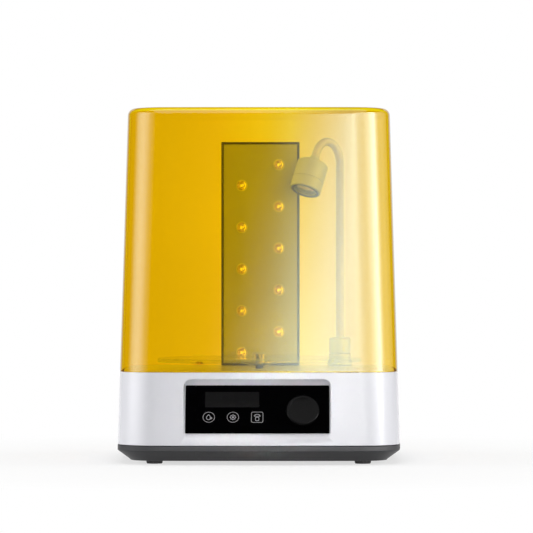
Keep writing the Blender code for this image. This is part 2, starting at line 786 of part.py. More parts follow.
def neck_link(name, start, end):
    """A length of neck between two distances, ending in the ball that the next length turns on."""
    count = max(2, round((end - start) / 0.005)) if end > STRAIGHT_LENGTH else 2
    curve = bpy.data.curves.new(name, "CURVE")
    curve.dimensions = "3D"
    curve.bevel_depth = NECK_RADIUS
    curve.bevel_resolution = 2
    curve.use_fill_caps = True
    spline = curve.splines.new("POLY")
    spline.points.add(count - 1)
    for index, point in enumerate(spline.points):
        place = neck_point(start + (end - start) * index / (count - 1))
        point.co = (*place, 1)
    tube = bpy.data.objects.new(name + "_curve", curve)
    bpy.context.scene.collection.objects.link(tube)
    bpy.context.view_layer.update()
    evaluated = tube.evaluated_get(bpy.context.evaluated_depsgraph_get())
    data = bpy.data.meshes.new_from_object(evaluated)
    bpy.data.objects.remove(tube, do_unlink=True)
    mesh = bmesh.new()
    mesh.from_mesh(data)
    bpy.data.meshes.remove(data)
    bmesh.ops.remove_doubles(mesh, verts=mesh.verts, dist=0.00001)
    link = object_from_bmesh(name, mesh, "dark_plastic")
    ball_mesh = bmesh.new()
    bmesh.ops.create_uvsphere(ball_mesh, u_segments=16, v_segments=10, radius=NECK_BALL_RADIUS)
    ball = object_from_bmesh(name + "_ball", ball_mesh)
    ball.location = neck_point(end)
    join(link, ball)
    return link


def make_neck():
    neck_link("neck_stub", 0.0, NECK_JOINTS[0])
    for number, (start, end) in enumerate(zip(NECK_JOINTS, NECK_JOINTS[1:]), 1):
        neck_link(f"neck_link_{number}", start + BALL_CLEARANCE, end)


def make_lamp_foot():
    at = (LAMP_X, LAMP_Y, 0)
    bore = 0.0035
    socket_z = 0.0978
    turned(
        "lamp_foot",
        [
            (bore, socket_z - GAP),
            (0.0105, socket_z - GAP),
            (0.0121, 0.0885),
            (0.0121, DECK_Z + GAP),
            (bore, DECK_Z + GAP),
        ],
        "dark_plastic",
        location=at,
        closed=True,
    )
    turned(
        "lamp_socket",
        [
            (bore, NECK_START_Z - GAP),
            (0.0092, NECK_START_Z - GAP),
            (0.0102, NECK_START_Z - 0.0013),
            (0.0102, socket_z),
            (bore, socket_z),
        ],
        "dark_plastic",
        location=at,
        closed=True,
    )


def make_lamp_head():
    end = neck_point(NECK_JOINTS[-1])
    heading = Matrix.Rotation(LAMP_HEADING, 3, "Z")
    direction = heading @ Vector((math.sin(ARCH_ANGLE), 0, math.cos(ARCH_ANGLE)))
    frame = empty("head_frame", end, direction.to_track_quat("Z", "Y").to_euler())
    seam = 0.0300
    front = HEAD_OFFSET + HEAD_LENGTH
    wall = 0.0015
    ceiling = HEAD_OFFSET + 0.0025
    edge = 0.0012
    stem = 0.0046
    turned(
        "lamp_head_shell",
        [
            (0, ceiling),
            (HEAD_RADIUS - wall, ceiling),
            (HEAD_RADIUS - wall, seam),
            (HEAD_RADIUS, seam),
            (HEAD_RADIUS, HEAD_OFFSET + edge),
            (HEAD_RADIUS - edge, HEAD_OFFSET),
            (stem, HEAD_OFFSET),
            (stem, BALL_CLEARANCE),
            (0, BALL_CLEARANCE),
        ],
        "aluminium",
        frame,
    )
    turned(
        "lamp_head_ring",
        [
            (0.0115, front),
            (HEAD_RADIUS - 0.0006, front),
            (HEAD_RADIUS, front - 0.0006),
            (HEAD_RADIUS, seam + GAP),
            (0.0128, seam + GAP),
            (0.0128, front - 0.0025),
            (0.0115, front - 0.0025),
        ],
        "dark_plastic",
        frame,
        closed=True,
    )
    turned(
        "lamp_reflector",
        [(0.0116, 0.0352), (0.0122, 0.0352), (0.0122, 0.0346), (0.0046, 0.0240), (0.0036, 0.0240)],
        "aluminium",
        frame,
        closed=True,
    )
    turned(
        "lamp_led_board",
        [(0, 0.0237), (0.0025, 0.0237), (0.0025, 0.0221), (0.0125, 0.0221), (0.0125, 0.0205), (0, 0.0205)],
        "circuit_board",
        frame,
        steps=24,
    )
    turned(
        "lamp_lens",
        [(0, 0.0392), (0.0060, 0.0390), (0.0108, 0.0382), (0.0124, 0.0381), (0.0124, 0.0358), (0, 0.0358)],
        "clear_plastic",
        frame,
    )


# ---------------------------------------------------------------- cover

COVER_WALL = 0.0030
COVER_FILLET = 0.0065
MAGNET_AT = (-0.060, 0.1085)


def make_cover():
    tongue_low_z = 0.0816
    tongue_inset = 0.0016
    rim_z = RIM_Z + GAP
    inner_fillet = COVER_FILLET - COVER_WALL
    shoulder_z = HEIGHT - COVER_FILLET
    inner = fillet_levels(shoulder_z, COVER_WALL, inner_fillet, 3)
    outer = fillet_levels(shoulder_z, 0.0, COVER_FILLET, 5)
    levels = inner[::-1] + [
        (tongue_low_z, COVER_WALL),
        (tongue_low_z, tongue_inset),
        (rim_z, tongue_inset),
        (rim_z, 0.0),
    ]
    cover = casing_solid("cover_shell", levels + outer, "amber_cover")
    x, y = MAGNET_AT
    boss_low_z = DECK_Z + 0.0006
    boss = box("magnet_boss", (x - 0.006, y - 0.006, boss_low_z), (x + 0.006, y + 0.0065, 0.0950))
    join(cover, boss)
    low, high = boss_low_z + GAP, boss_low_z + 0.0027
    pocket_top = high + GAP
    cut(cover, cylinder("cover_magnet_pocket", 0.003 + GAP, 0.0800, pocket_top, at=MAGNET_AT, sides=20))
    cylinder("cover_magnet", 0.003, low, high, "magnet", at=MAGNET_AT, sides=20)


def make_boards():
    low = (BOARD_X[0], BOARD_Y[0], BOARD_LOW_Z)
    high = (BOARD_X[1], BOARD_Y[1], BOARD_LOW_Z + BOARD_THICKNESS)
    box("main_board", low, high, "circuit_board")
    x, y = MAGNET_AT
    top = DECK_UNDER_Z - GAP
    low, high = (x - 0.007, y - 0.0095, top - BOARD_THICKNESS), (x + 0.007, y + 0.0005, top)
    box("cover_sensor", low, high, "circuit_board")


def main():
    start_scene()
    make_tray()
    make_feet()
    make_case_screws()
    frame = panel_frame("panel_frame")
    cut_panel_windows(make_housing(), frame)
    make_control_panel(frame)
    make_encoder(frame)
    make_knob(frame)
    make_inlet()
    make_switch()
    make_motor()
    make_motor_bracket()
    make_rotor()
    make_spindle()
    make_turntable()
    make_tower()
    make_lamp_foot()
    make_neck()
    make_lamp_head()
    make_cover()
    make_boards()


main()
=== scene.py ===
"""The looks of a resin washing and curing station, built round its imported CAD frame: an amber cover over
a white housing, with a turntable, an LED tower and a gooseneck lamp inside. Metres, in the CAD's frame."""

import math

import bmesh
import bpy
from mathutils import Matrix, Vector


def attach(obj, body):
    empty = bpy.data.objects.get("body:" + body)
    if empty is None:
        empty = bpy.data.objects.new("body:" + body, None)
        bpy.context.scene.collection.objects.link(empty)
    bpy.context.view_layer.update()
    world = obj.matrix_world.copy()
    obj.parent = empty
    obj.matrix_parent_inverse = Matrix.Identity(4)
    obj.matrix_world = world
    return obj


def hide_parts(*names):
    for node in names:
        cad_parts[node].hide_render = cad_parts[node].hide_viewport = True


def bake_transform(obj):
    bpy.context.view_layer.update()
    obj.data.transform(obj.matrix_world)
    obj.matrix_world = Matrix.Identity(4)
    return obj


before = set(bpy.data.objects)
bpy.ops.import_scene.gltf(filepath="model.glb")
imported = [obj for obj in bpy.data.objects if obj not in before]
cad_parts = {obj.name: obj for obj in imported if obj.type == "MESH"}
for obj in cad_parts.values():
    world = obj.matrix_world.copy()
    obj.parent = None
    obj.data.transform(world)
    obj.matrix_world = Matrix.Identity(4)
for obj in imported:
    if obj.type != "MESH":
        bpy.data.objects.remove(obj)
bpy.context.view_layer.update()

# ------ dimensions, as in the CAD source

WIDTH = 0.2643
DEPTH = 0.240
HEIGHT = 0.3277
DRAFT = 0.031
CORNER_RADIUS = 0.035
BULGE = 0.030
GAP = 0.0003
WALL = 0.0028
FOOT_HEIGHT = 0.0032
FLOOR_Z = 0.0061
CREASE_Z = 0.0124
TRAY_TOP_Z = 0.0174
HOUSING_BOTTOM_Z = 0.0177
RIM_Z = 0.0845
DECK_Z = 0.0856
DECK_UNDER_Z = 0.0826

PANEL_X = -0.001
PANEL_TILT = math.radians(31)
PANEL_SIZE = (0.132, 0.0498)
PANEL_TOP = 0.0018
PANEL_CENTRE_Z = 0.0500
RECESS_WIDTH = 0.1345
RECESS_LOW_Z = 0.0246
RECESS_HIGH_Z = 0.0785
RECESS_CORNER = 0.007
FRONT_AT_RECESS_Y = -0.1198
DISPLAY_AT = (-0.0231, 0.0097)
DISPLAY_SIZE = (0.0496, 0.0162)
KNOB_AT = (0.0417, -0.0034)
KNOB_RADIUS = 0.0154
KNOB_BOTTOM = 0.0029
KNOB_TOP = 0.0074
ICON_Y = -0.0087
ICON_XS = (-0.0444, -0.0223, -0.0001)
ICON_RADIUS = 0.0055

DRIVE_Y = -0.0165
TURNTABLE_RADIUS = 0.096
TURNTABLE_LOW_Z = 0.0918
TURNTABLE_HIGH_Z = 0.0956
SPINDLE_RADIUS = 0.00375
SPINDLE_TOP_Z = 0.0990

TOWER_HALF_WIDTH = 0.038
TOWER_FRONT_Y = 0.082
TOWER_BACK_Y = 0.106
TOWER_TOP_Z = 0.3026
TOWER_WALL = 0.002
LED_COUNT = 10
LED_X = 0.018
LED_LOW_Z = 0.0981
LED_PITCH = 0.02028
LED_RADIUS = 0.0049
LED_BOARD_Y = 0.0880

LAMP_X = 0.077
LAMP_Y = 0.080
NECK_RADIUS = 0.0038
NECK_START_Z = 0.1132
NECK_JOINTS_Z = (0.122, 0.175, 0.228)
ARCH_START_Z = 0.281
ARCH_RADIUS = 0.021
ARCH_ANGLE = math.radians(153)
LAMP_HEADING = Vector((math.cos(math.radians(234.4)), math.sin(math.radians(234.4)), 0))
HEAD_RADIUS = 0.015
HEAD_TOP = 0.0115
HEAD_SEAM = 0.0300
HEAD_FRONT = 0.0410

SOCKET_Z = 0.045
REAR_FACE_Y = 0.1178
INLET_X = -0.070
SWITCH_X = 0.070

FINE_TURNS = 96  # facets round a visible round piece


# ------ shader tools


def node(tree, kind, inputs=None, **settings):
    """A shader node with its settings and inputs. An input given as a socket is linked to it."""
    made = tree.nodes.new("ShaderNode" + kind)
    for key, value in settings.items():
        setattr(made, key, value)
    for key, value in (inputs or {}).items():
        if isinstance(value, bpy.types.NodeSocket):
            tree.links.new(value, made.inputs[key])
        else:
            made.inputs[key].default_value = value
    return made


def empty_material(name):
    material = bpy.data.materials.new(name)
    material.use_nodes = True
    material.node_tree.nodes.clear()
    return material


def noise(tree, scale, detail=3.0, stretch=(1, 1, 1)):
    """A noise value, its pattern scaled per metre in the piece's own space."""
    place = node(tree, "TexCoord").outputs["Object"]
    mapping = node(tree, "Mapping", {"Vector": place, "Scale": stretch})
    settings = {"Vector": mapping.outputs["Vector"], "Scale": scale, "Detail": detail}
    return node(tree, "TexNoise", settings).outputs["Fac"]


def ranged(tree, value, low, high, source=(0.3, 0.7)):
    """A value moved from one range to another and held inside it."""
    settings = {"Value": value, "From Min": source[0], "From Max": source[1], "To Min": low, "To Max": high}
    return node(tree, "MapRange", settings).outputs["Result"]


def through_stops(tree, value, stops):
    """A colour that follows a value from 0 to 1 through (share, colour) stops."""
    ramp = node(tree, "ValToRGB", {"Fac": value})
    elements = ramp.color_ramp.elements
    for share, _ in stops[1:-1]:
        elements.new(share)
    for element, (_, colour) in zip(elements, stops):
        element.color = (*colour, 1)
    return ramp.outputs["Color"]


def blended(tree, share, first, second):
    """A colour that goes from the first to the second as share goes from 0 to 1."""
    mix = node(tree, "Mix", {"Factor": share, "A": first, "B": second}, data_type="RGBA")
    return mix.outputs["Result"]


def shaded(colour, factor):
    return tuple(min(channel * factor, 1.0) for channel in colour) + (1.0,)


def mottled(tree, colour, scale, spread):
    """A colour that drifts a little lighter and darker over the piece."""
    share = ranged(tree, noise(tree, scale), 0.0, 1.0)
    return blended(tree, share, shaded(colour, 1 - spread), shaded(colour, 1 + spread))


def bumped(tree, height, strength, distance):
    made = node(tree, "Bump", {"Height": height, "Strength": strength, "Distance": distance})
    return made.outputs["Normal"]


def finish_with(tree, shader):
    node(tree, "OutputMaterial", {"Surface": shader})


def finish_solid(tree, inputs):
    finish_with(tree, node(tree, "BsdfPrincipled", inputs).outputs["BSDF"])


def tint_of_wall(tree, tint, edge_tint, painted_light_tints, edge_range, entering):
    """What a clear wall lets through: its tint by place, which is painted light and shade, and by the angle
    it is seen at.
    """
    drift = ranged(tree, noise(tree, 9, detail=2), 0.985, 1.0)
    facing = node(tree, "LayerWeight", {"Blend": 0.35}).outputs["Facing"]
    seen_along = ranged(tree, facing, 0.0, 1.0, source=edge_range)
    grazed = node(tree, "Math", {0: seen_along, 1: entering}, operation="MULTIPLY").outputs["Value"]
    plain = (*tint, 1)
    # Painted light and shade: the tint follows the object's X through the given stops.
    if painted_light_tints:
        first, last = painted_light_tints[0][0], painted_light_tints[-1][0]
        across = node(tree, "SeparateXYZ", {0: node(tree, "TexCoord").outputs["Object"]}).outputs["X"]
        share = ranged(tree, across, 0.0, 1.0, source=(first, last))
        stops = [((x - first) / (last - first), colour) for x, colour in painted_light_tints]
        plain = through_stops(tree, share, stops)
    colour = blended(tree, grazed, plain, (*edge_tint, 1))
    toned = node(tree, "VectorMath", {0: colour, 3: drift}, operation="SCALE")
    return toned.outputs["Vector"]


def moulded(
    name,
    colour,
    roughness,
    spread=0.03,
    drift_scale=14,
    grain_scale=1400,
    grain=0.05,
    scuff=0.05,
    metallic=0.0,
    stretch=(1, 1, 1),
    specular=0.5,
):
    """A solid finish with drifting colour, a moulded or brushed grain, and faint scuffs in its gloss."""
    material = empty_material(name)
    tree = material.node_tree
    scuffs = noise(tree, 60, detail=6, stretch=(1, 1, 0.35))
    finish_solid(
        tree,
        {
            "Base Color": mottled(tree, colour, drift_scale, spread),
            "Roughness": ranged(tree, scuffs, roughness - scuff, roughness + scuff),
            "Normal": bumped(tree, noise(tree, grain_scale, stretch=stretch), grain, 0.0002),
            "Metallic": metallic,
            "Specular IOR Level": specular,
        },
    )
    return material


def clear_wall(
    name,
    tint,
    edge_tint,
    roughness,
    gloss_share=1.0,
    haze=0.0,
    haze_colour=(1, 1, 1),
    lamp_tint=None,
    painted_light_tints=(),
    gloss_colour=(1, 1, 1),
    edge_range=(0.70, 1.0),
):
    """A thin clear wall: tinted straight through, deeper when seen along it, with a gloss on its outer side.

    The side-to-side tints are (X, tint) stops: painted light and shade, not a change in the wall. Where a ray
    enters, it turns to edge_tint over edge_range, from 0 where the wall is seen square on to 1 where it is
    seen along. Lamps shine through it in lamp_tint, so that what stands inside is lit as evenly as in a
    studio.
    gloss_share is how much of the gloss is left, for faces that shouldn't shine as much."""
    material = empty_material(name)
    tree = material.node_tree
    inside = node(tree, "NewGeometry").outputs["Backfacing"]
    entering = ranged(tree, inside, 1.0, 0.0, source=(0.0, 1.0))
    toned = tint_of_wall(tree, tint, edge_tint, painted_light_tints, edge_range, entering)
    from_lamp = node(tree, "LightPath").outputs["Is Shadow Ray"]
    colour = blended(tree, from_lamp, toned, (*(lamp_tint or tint), 1))
    through = node(tree, "BsdfTransparent", {"Color": colour})
    wipe_marks = noise(tree, 35, detail=5, stretch=(1, 1, 0.3))
    gloss = node(
        tree,
        "BsdfGlossy",
        {
            "Color": (*gloss_colour, 1),
            "Roughness": ranged(tree, wipe_marks, roughness * 0.85, roughness * 1.15),
            "Normal": bumped(tree, noise(tree, 25, detail=1), 0.02, 0.001),
        },
    )
    fresnel = node(tree, "Fresnel", {"IOR": 1.5}).outputs["Fac"]
    outside = ranged(tree, inside, gloss_share, 0.0, source=(0.0, 1.0))
    amount = node(tree, "Math", {0: fresnel, 1: outside}, operation="MULTIPLY").outputs["Value"]
    shader = node(tree, "MixShader", {0: amount, 1: through.outputs["BSDF"], 2: gloss.outputs["BSDF"]})
    result = shader.outputs["Shader"]
    if haze:
        cloudy = node(tree, "BsdfDiffuse", {"Color": (*haze_colour, 1)})
        speckle = ranged(tree, noise(tree, 220, detail=4), haze * 0.7, haze * 1.3)
        hazed = node(tree, "MixShader", {0: speckle, 1: result, 2: cloudy.outputs["BSDF"]})
        result = hazed.outputs["Shader"]
    finish_with(tree, result)
    return material


def lit_chip(name, colour, strength):
    """A small glowing die. Its colour and its glow vary with fine noise."""
    material = empty_material(name)
    tree = material.node_tree
    finish_solid(
        tree,
        {
            "Base Color": mottled(tree, colour, 900, 0.25),
            "Roughness": ranged(tree, noise(tree, 700), 0.25, 0.5),
            "Emission Color": (*colour, 1),
            "Emission Strength": ranged(tree, noise(tree, 1200), strength * 0.6, strength * 1.4),
            "Normal": bumped(tree, noise(tree, 2500), 0.1, 0.0002),
        },
    )
    return material


def circuit_board(name):
    """Green board: copper tracks under the solder mask, as raised bands, with a faint weave."""
    material = empty_material(name)
    tree = material.node_tree
    place = node(tree, "TexCoord").outputs["Object"]
    tracks = node(tree, "TexBrick", {"Vector": place, "Scale": 180.0, "Mortar Size": 0.06})
    tracks.inputs["Color1"].default_value = (0.012, 0.10, 0.045, 1)
    tracks.inputs["Color2"].default_value = (0.010, 0.085, 0.040, 1)
    tracks.inputs["Mortar"].default_value = (0.03, 0.20, 0.08, 1)
    finish_solid(
        tree,
        {
            "Base Color": tracks.outputs["Color"],
            "Roughness": ranged(tree, noise(tree, 80), 0.3, 0.45),
            "Normal": bumped(tree, tracks.outputs["Fac"], 0.2, 0.0002),
        },
    )
    return material


# ------ finishes

WHITE = moulded(
    "white_housing", (0.80, 0.80, 0.845), 0.20, spread=0.012, grain=0.012, scuff=0.03, specular=0.36
)
TRAY_GREY = moulded("tray_charcoal", (0.047, 0.047, 0.050), 0.45, spread=0.08, grain=0.06, specular=0.2)
DARK = moulded("dark_fittings", (0.060, 0.060, 0.064), 0.45, spread=0.08, grain=0.05)
# Near black, partly the frame's own dark plastic and partly painted shade: its thin rim round the tower face
# stands for the shaded gap there.
TOWER_SIDE = moulded("tower_frame_plastic", (0.035, 0.033, 0.034), 0.5, spread=0.1, grain=0.05)
TOWER_FACE = moulded("tower_face_plastic", (0.40, 0.415, 0.43), 0.45, spread=0.03, grain=0.04)
NECK_GREY = moulded("gooseneck_coating", (0.60, 0.555, 0.56), 0.4, spread=0.06, grain=0.05)
LAMP_GREY = moulded("lamp_base_plastic", (0.50, 0.53, 0.55), 0.45, spread=0.05, grain=0.05)
HEAD_METAL = moulded(
    "lamp_head_anodised", (0.52, 0.54, 0.54), 0.50, spread=0.04, specular=0.3, stretch=(1, 1, 0.05)
)
RIM_GREY = moulded("lamp_ring_plastic", (0.13, 0.13, 0.13), 0.4, spread=0.05)
PANEL_BLACK = moulded(
    "panel_black", (0.0008, 0.0008, 0.0010), 0.30, spread=0.3, grain=0.01, scuff=0.04, specular=0.0
)
DISPLAY_BLACK = moulded(
    "display_smoked", (0.0090, 0.0090, 0.0092), 0.35, spread=0.15, grain=0.02, specular=0.02
)
KNOB_BLACK = moulded(
    "knob_black", (0.0035, 0.0035, 0.0036), 0.22, spread=0.15, grain=0.02, scuff=0.04, specular=0.05
)
PRINT_GREY = moulded("icon_print", (0.31, 0.31, 0.32), 0.5, spread=0.06, grain_scale=3000)
RUBBER = moulded("foot_rubber", (0.022, 0.022, 0.023), 0.75, spread=0.15, grain_scale=900, grain=0.2)
STEEL = moulded("steel", (0.55, 0.55, 0.57), 0.32, metallic=1.0, spread=0.06, stretch=(1, 1, 0.05))
ALUMINIUM = moulded("aluminium", (0.70, 0.70, 0.72), 0.35, metallic=0.9, spread=0.05, grain=0.08)
BRIGHT = moulded("bright_plating", (0.60, 0.60, 0.61), 0.16, metallic=0.9, spread=0.04, grain_scale=2500)
MAGNET = moulded("magnet_nickel", (0.65, 0.65, 0.68), 0.2, metallic=1.0, spread=0.05)
BOARD = circuit_board("circuit_board_mask")
LED_DIE = lit_chip("led_die", (1.0, 0.95, 0.45), 0.6)
LED_CUP = moulded("led_cup", (0.62, 0.50, 0.24), 0.3, metallic=0.2, spread=0.55, drift_scale=800)
AMBER_LOOK = {
    "tint": (0.936, 0.810, 0.06),
    # Painted light and shade: lightest across the middle, where the glare falls, darkest near the right
    # corner, where a band of shade falls, and lighter again towards that corner's highlight.
    "painted_light_tints": [
        (-0.09, (0.936, 0.806, 0.06)),
        (-0.04, (0.964, 0.828, 0.06)),
        (0.0, (0.985, 0.866, 0.04)),
        (0.03, (0.970, 0.876, 0.04)),
        (0.085, (0.893, 0.785, 0.06)),
        (0.12, (0.965, 0.860, 0.06)),
    ],
    "gloss_colour": (0.78, 0.97, 1.0),
    "roughness": 0.08,
    "lamp_tint": (0.95, 0.88, 0.50),
}
AMBER = clear_wall("amber_acrylic", edge_tint=(0.66, 0.36, 0.02), edge_range=(0.42, 0.62), **AMBER_LOOK)
AMBER_INSIDE = clear_wall(
    "amber_acrylic_inside", edge_tint=(0.93, 0.80, 0.06), gloss_share=0.05, **AMBER_LOOK
)
CLEAR = clear_wall(
    "clear_acrylic",
    tint=(0.93, 0.95, 0.94),
    edge_tint=(0.45, 0.52, 0.45),
    roughness=0.08,
    haze=0.10,
    haze_colour=(0.55, 0.58, 0.55),
)
HUB_CLEAR = clear_wall(
    "hub_acrylic", tint=(0.96, 0.97, 0.96), edge_tint=(0.80, 0.84, 0.78), roughness=0.08, haze=0.05
)
LED_LENS = clear_wall("led_dome", tint=(0.97, 0.94, 0.86), edge_tint=(0.74, 0.66, 0.30), roughness=0.05)
LENS = clear_wall("lens_clear", tint=(0.97, 0.97, 0.97), edge_tint=(0.6, 0.6, 0.58), roughness=0.06)


# ------ mesh tools


def smooth(data, crease=32):
    data.shade_smooth()
    data.set_sharp_from_angle(angle=math.radians(crease))


def piece(name, mesh, finish, place=Matrix.Identity(4)):
    """An object from a bmesh, moved to its place: shaded smooth except at its sharp edges."""
    mesh.transform(place)
    bmesh.ops.recalc_face_normals(mesh, faces=mesh.faces)
    data = bpy.data.meshes.new(name)
    mesh.to_mesh(data)
    mesh.free()
    smooth(data)
    obj = bpy.data.objects.new(name, data)
    bpy.context.scene.collection.objects.link(obj)
    if finish:
        obj.data.materials.append(finish)
    return obj


def rounded_outline(half_x, half_y, radius, corner_steps=16, side_steps=1):
    """Points anticlockwise round a rectangle with round corners."""
    arcs = []
    for quarter, (sign_x, sign_y) in enumerate(((1, 1), (-1, 1), (-1, -1), (1, -1))):
        centre = Vector((sign_x * (half_x - radius), sign_y * (half_y - radius)))
        angles = [math.radians(90 * (quarter + step / corner_steps)) for step in range(corner_steps + 1)]
        arcs.append([centre + radius * Vector((math.cos(angle), math.sin(angle))) for angle in angles])
    points = []
    for arc, following in zip(arcs, arcs[1:] + arcs[:1]):
        points += arc
        points += [arc[-1].lerp(following[0], step / side_steps) for step in range(1, side_steps)]
    return points


def at_height(outline, height):
    return [Vector((point.x, point.y, height)) for point in outline]


def casing_outline(height, inset):
    """The casing's outline at a height, inset from its tapered and slightly bowed outer face."""
    half_x = WIDTH / 2 - DRAFT * (height - HOUSING_BOTTOM_Z) - inset
    half_y = DEPTH / 2 - DRAFT * (height - HOUSING_BOTTOM_Z) - inset
    outline = rounded_outline(half_x, half_y, max(CORNER_RADIUS - inset, 0.004), side_steps=18)
    bowed = []
    for point in outline:
        x = point.x * (1 - BULGE * (point.y / (DEPTH / 2)) ** 2)
        y = point.y * (1 - BULGE * (point.x / (WIDTH / 2)) ** 2)
        bowed.append(Vector((x, y, height)))
    return bowed


def lofted(sections):
    """A closed solid through rings of points, with its first and last rings filled."""
    mesh = bmesh.new()
    rings = [[mesh.verts.new(point) for point in section] for section in sections]
    for lower, upper in zip(rings, rings[1:]):
        for index in range(len(lower)):
            following = (index + 1) % len(lower)
            mesh.faces.new((lower[index], lower[following], upper[following], upper[index]))
    mesh.faces.new(rings[0])
    mesh.faces.new(rings[-1])
    return mesh


def softened(points, radius, steps=4, closed=False):
    """The same run of points with each corner eased over about radius. Open runs keep their ends."""
    points = [Vector(point) for point in points]
    eased = []
    for index, corner in enumerate(points):
        if not closed and index in (0, len(points) - 1):
            eased.append(corner)
            continue
        before, after = points[index - 1], points[(index + 1) % len(points)]
        start = corner + (before - corner).normalized() * min(radius, 0.45 * (before - corner).length)
        end = corner + (after - corner).normalized() * min(radius, 0.45 * (after - corner).length)
        for step in range(steps + 1):
            share = step / steps
            eased.append(start.lerp(corner, share).lerp(corner.lerp(end, share), share))
    return eased


def revolved(profile, closed=False, turns=FINE_TURNS):
    """A profile of (radius, height) points spun about Z. closed joins its last point to its first."""
    mesh = bmesh.new()
    rings = []
    for radius, height in profile:
        if radius < 1e-6:
            rings.append([mesh.verts.new((0, 0, height))])
            continue
        angles = [math.tau * turn / turns for turn in range(turns)]
        rings.append([mesh.verts.new((radius * math.cos(a), radius * math.sin(a), height)) for a in angles])
    for first, second in zip(rings, rings[1:] + rings[:1] if closed else rings[1:]):
        for index in range(turns):
            following = (index + 1) % turns
            corners = [first[index % len(first)], first[following % len(first)]]
            corners += [second[following % len(second)], second[index % len(second)]]
            corners = list(dict.fromkeys(corners))
            if len(corners) > 2:
                mesh.faces.new(corners)
    return mesh


def turned(name, profile, finish, place, closed=False, ease=0.0, turns=FINE_TURNS):
    """A turned piece with eased corners."""
    profile = softened(profile, ease, closed=closed) if ease else [Vector(point) for point in profile]
    return piece(name, revolved(profile, closed, turns), finish, place)


def add_block(mesh, low, high):
    low, high = Vector(low), Vector(high)
    corners = bmesh.ops.create_cube(mesh, size=1)["verts"]
    bmesh.ops.scale(mesh, vec=high - low, verts=corners)
    bmesh.ops.translate(mesh, vec=(low + high) / 2, verts=corners)


def block(name, low, high, finish=None, place=Matrix.Identity(4)):
    mesh = bmesh.new()
    add_block(mesh, low, high)
    return piece(name, mesh, finish, place)


def peg(name, radius, low, high, at=(0, 0), place=Matrix.Identity(4), turns=48):
    """An upright cylinder used to cut or to join."""
    mesh = revolved([(0, high), (radius, high), (radius, low), (0, low)], turns=turns)
    return piece(name, mesh, None, place @ Matrix.Translation((*at, 0)))


def settle(obj):
    """Turns an object's modifiers into its plain mesh."""
    bpy.context.view_layer.update()
    evaluated = obj.evaluated_get(bpy.context.evaluated_depsgraph_get())
    data = bpy.data.meshes.new_from_object(evaluated)
    obj.modifiers.clear()
    obj.data = data
    smooth(obj.data)


def round_edges(obj, width, segments):
    rounding = obj.modifiers.new("rounding", "BEVEL")
    rounding.width = width
    rounding.segments = segments
    rounding.limit_method = "ANGLE"
    rounding.angle_limit = math.radians(40)


def shaped(obj, cuts=(), joins=(), bevel=0.0, segments=3):
    """obj with solids joined on, others cut out of it, and its sharp edges rounded."""
    for tools, operation in ((joins, "UNION"), (cuts, "DIFFERENCE")):
        for tool in tools:
            change = obj.modifiers.new(f"{operation.lower()} {tool.name}", "BOOLEAN")
            change.operation = operation
            change.object = tool
    if bevel:
        round_edges(obj, bevel, segments)
    settle(obj)
    for tool in (*cuts, *joins):
        bpy.data.objects.remove(tool, do_unlink=True)
    evening = obj.modifiers.new("even shading", "WEIGHTED_NORMAL")
    evening.keep_sharp = True
    return obj


def stands_for(obj, body, *nodes, slot=None):
    """Puts a finished piece on its CAD body, in place of these CAD nodes."""
    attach(obj, body)
    if nodes:
        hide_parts(*nodes)
    return obj


# ------ base

FOOT_PLACES = {
    f"foot_{end}_{side}": (x, y)
    for end, y in (("front", -0.088), ("rear", 0.088))
    for side, x in (("left", -0.096), ("right", 0.096))
}
SCREW_PLACES = [(x, y) for x in (-0.100, 0.100) for y in (-0.055, 0.055)]
SCREW_HOLE_RADIUS = 0.0018
FOOT_RADIUS = 0.008
PLANE_Y = FRONT_AT_RECESS_Y + (PANEL_CENTRE_Z - RECESS_LOW_Z) * math.tan(PANEL_TILT)
PANEL_FRAME = Matrix.Translation((PANEL_X, PLANE_Y, PANEL_CENTRE_Z)) @ Matrix.Rotation(
    math.radians(90) - PANEL_TILT, 4, "X"
)


def make_tray():
    chamfer = 0.0128
    lip_inset = WALL + GAP
    lip = 0.0018
    lip_top_z = 0.0214
    edge = 0.0006
    levels = [
        (FLOOR_Z, chamfer + 0.0025),
        (CREASE_Z, lip_inset + lip),
        (lip_top_z, lip_inset + lip),
        (lip_top_z, lip_inset),
        (TRAY_TOP_Z, lip_inset),
        (TRAY_TOP_Z, edge),
        (TRAY_TOP_Z - edge, 0.0),
        (CREASE_Z + edge, 0.0),
        (CREASE_Z, edge * 0.4),
        (CREASE_Z - edge, edge * 1.4),
        (FOOT_HEIGHT + 2 * edge, chamfer - 2 * edge),
        (FOOT_HEIGHT + edge * 0.4, chamfer - edge * 0.6),
        (FOOT_HEIGHT, chamfer + edge),
    ]
    tray = piece("tray", lofted([casing_outline(height, inset) for height, inset in levels]), TRAY_GREY)
    boss_radius, counterbore_radius = 0.0055, 0.0039
    joins = [peg("boss", boss_radius, 0.0050, 0.0257, at=place) for place in SCREW_PLACES]
    cuts = [peg("counterbore", counterbore_radius, -0.001, 0.0200, at=place) for place in SCREW_PLACES]
    cuts += [peg("hole", SCREW_HOLE_RADIUS, -0.001, 0.030, at=place) for place in SCREW_PLACES]
    pocket_top = FOOT_HEIGHT + 0.0015
    cuts += [peg("pocket", FOOT_RADIUS + GAP, -0.001, pocket_top, at=place) for place in FOOT_PLACES.values()]
    shaped(tray, cuts, joins)
    stands_for(tray, "base", "base_tray", slot="dark_plastic")


def make_feet():
    for name, (x, y) in FOOT_PLACES.items():
        top = FOOT_HEIGHT + 0.0012
        dimple = 0.0006
        outside = [(0, top), (FOOT_RADIUS, top), (FOOT_RADIUS - 0.0008, 0)]
        profile = outside + [(0.0035, 0), (0.0028, dimple), (0, dimple)]
        foot = turned(f"{name}_pad", profile, RUBBER, Matrix.Translation((x, y, 0)), ease=0.0006)
        stands_for(foot, "base", name, slot="rubber")


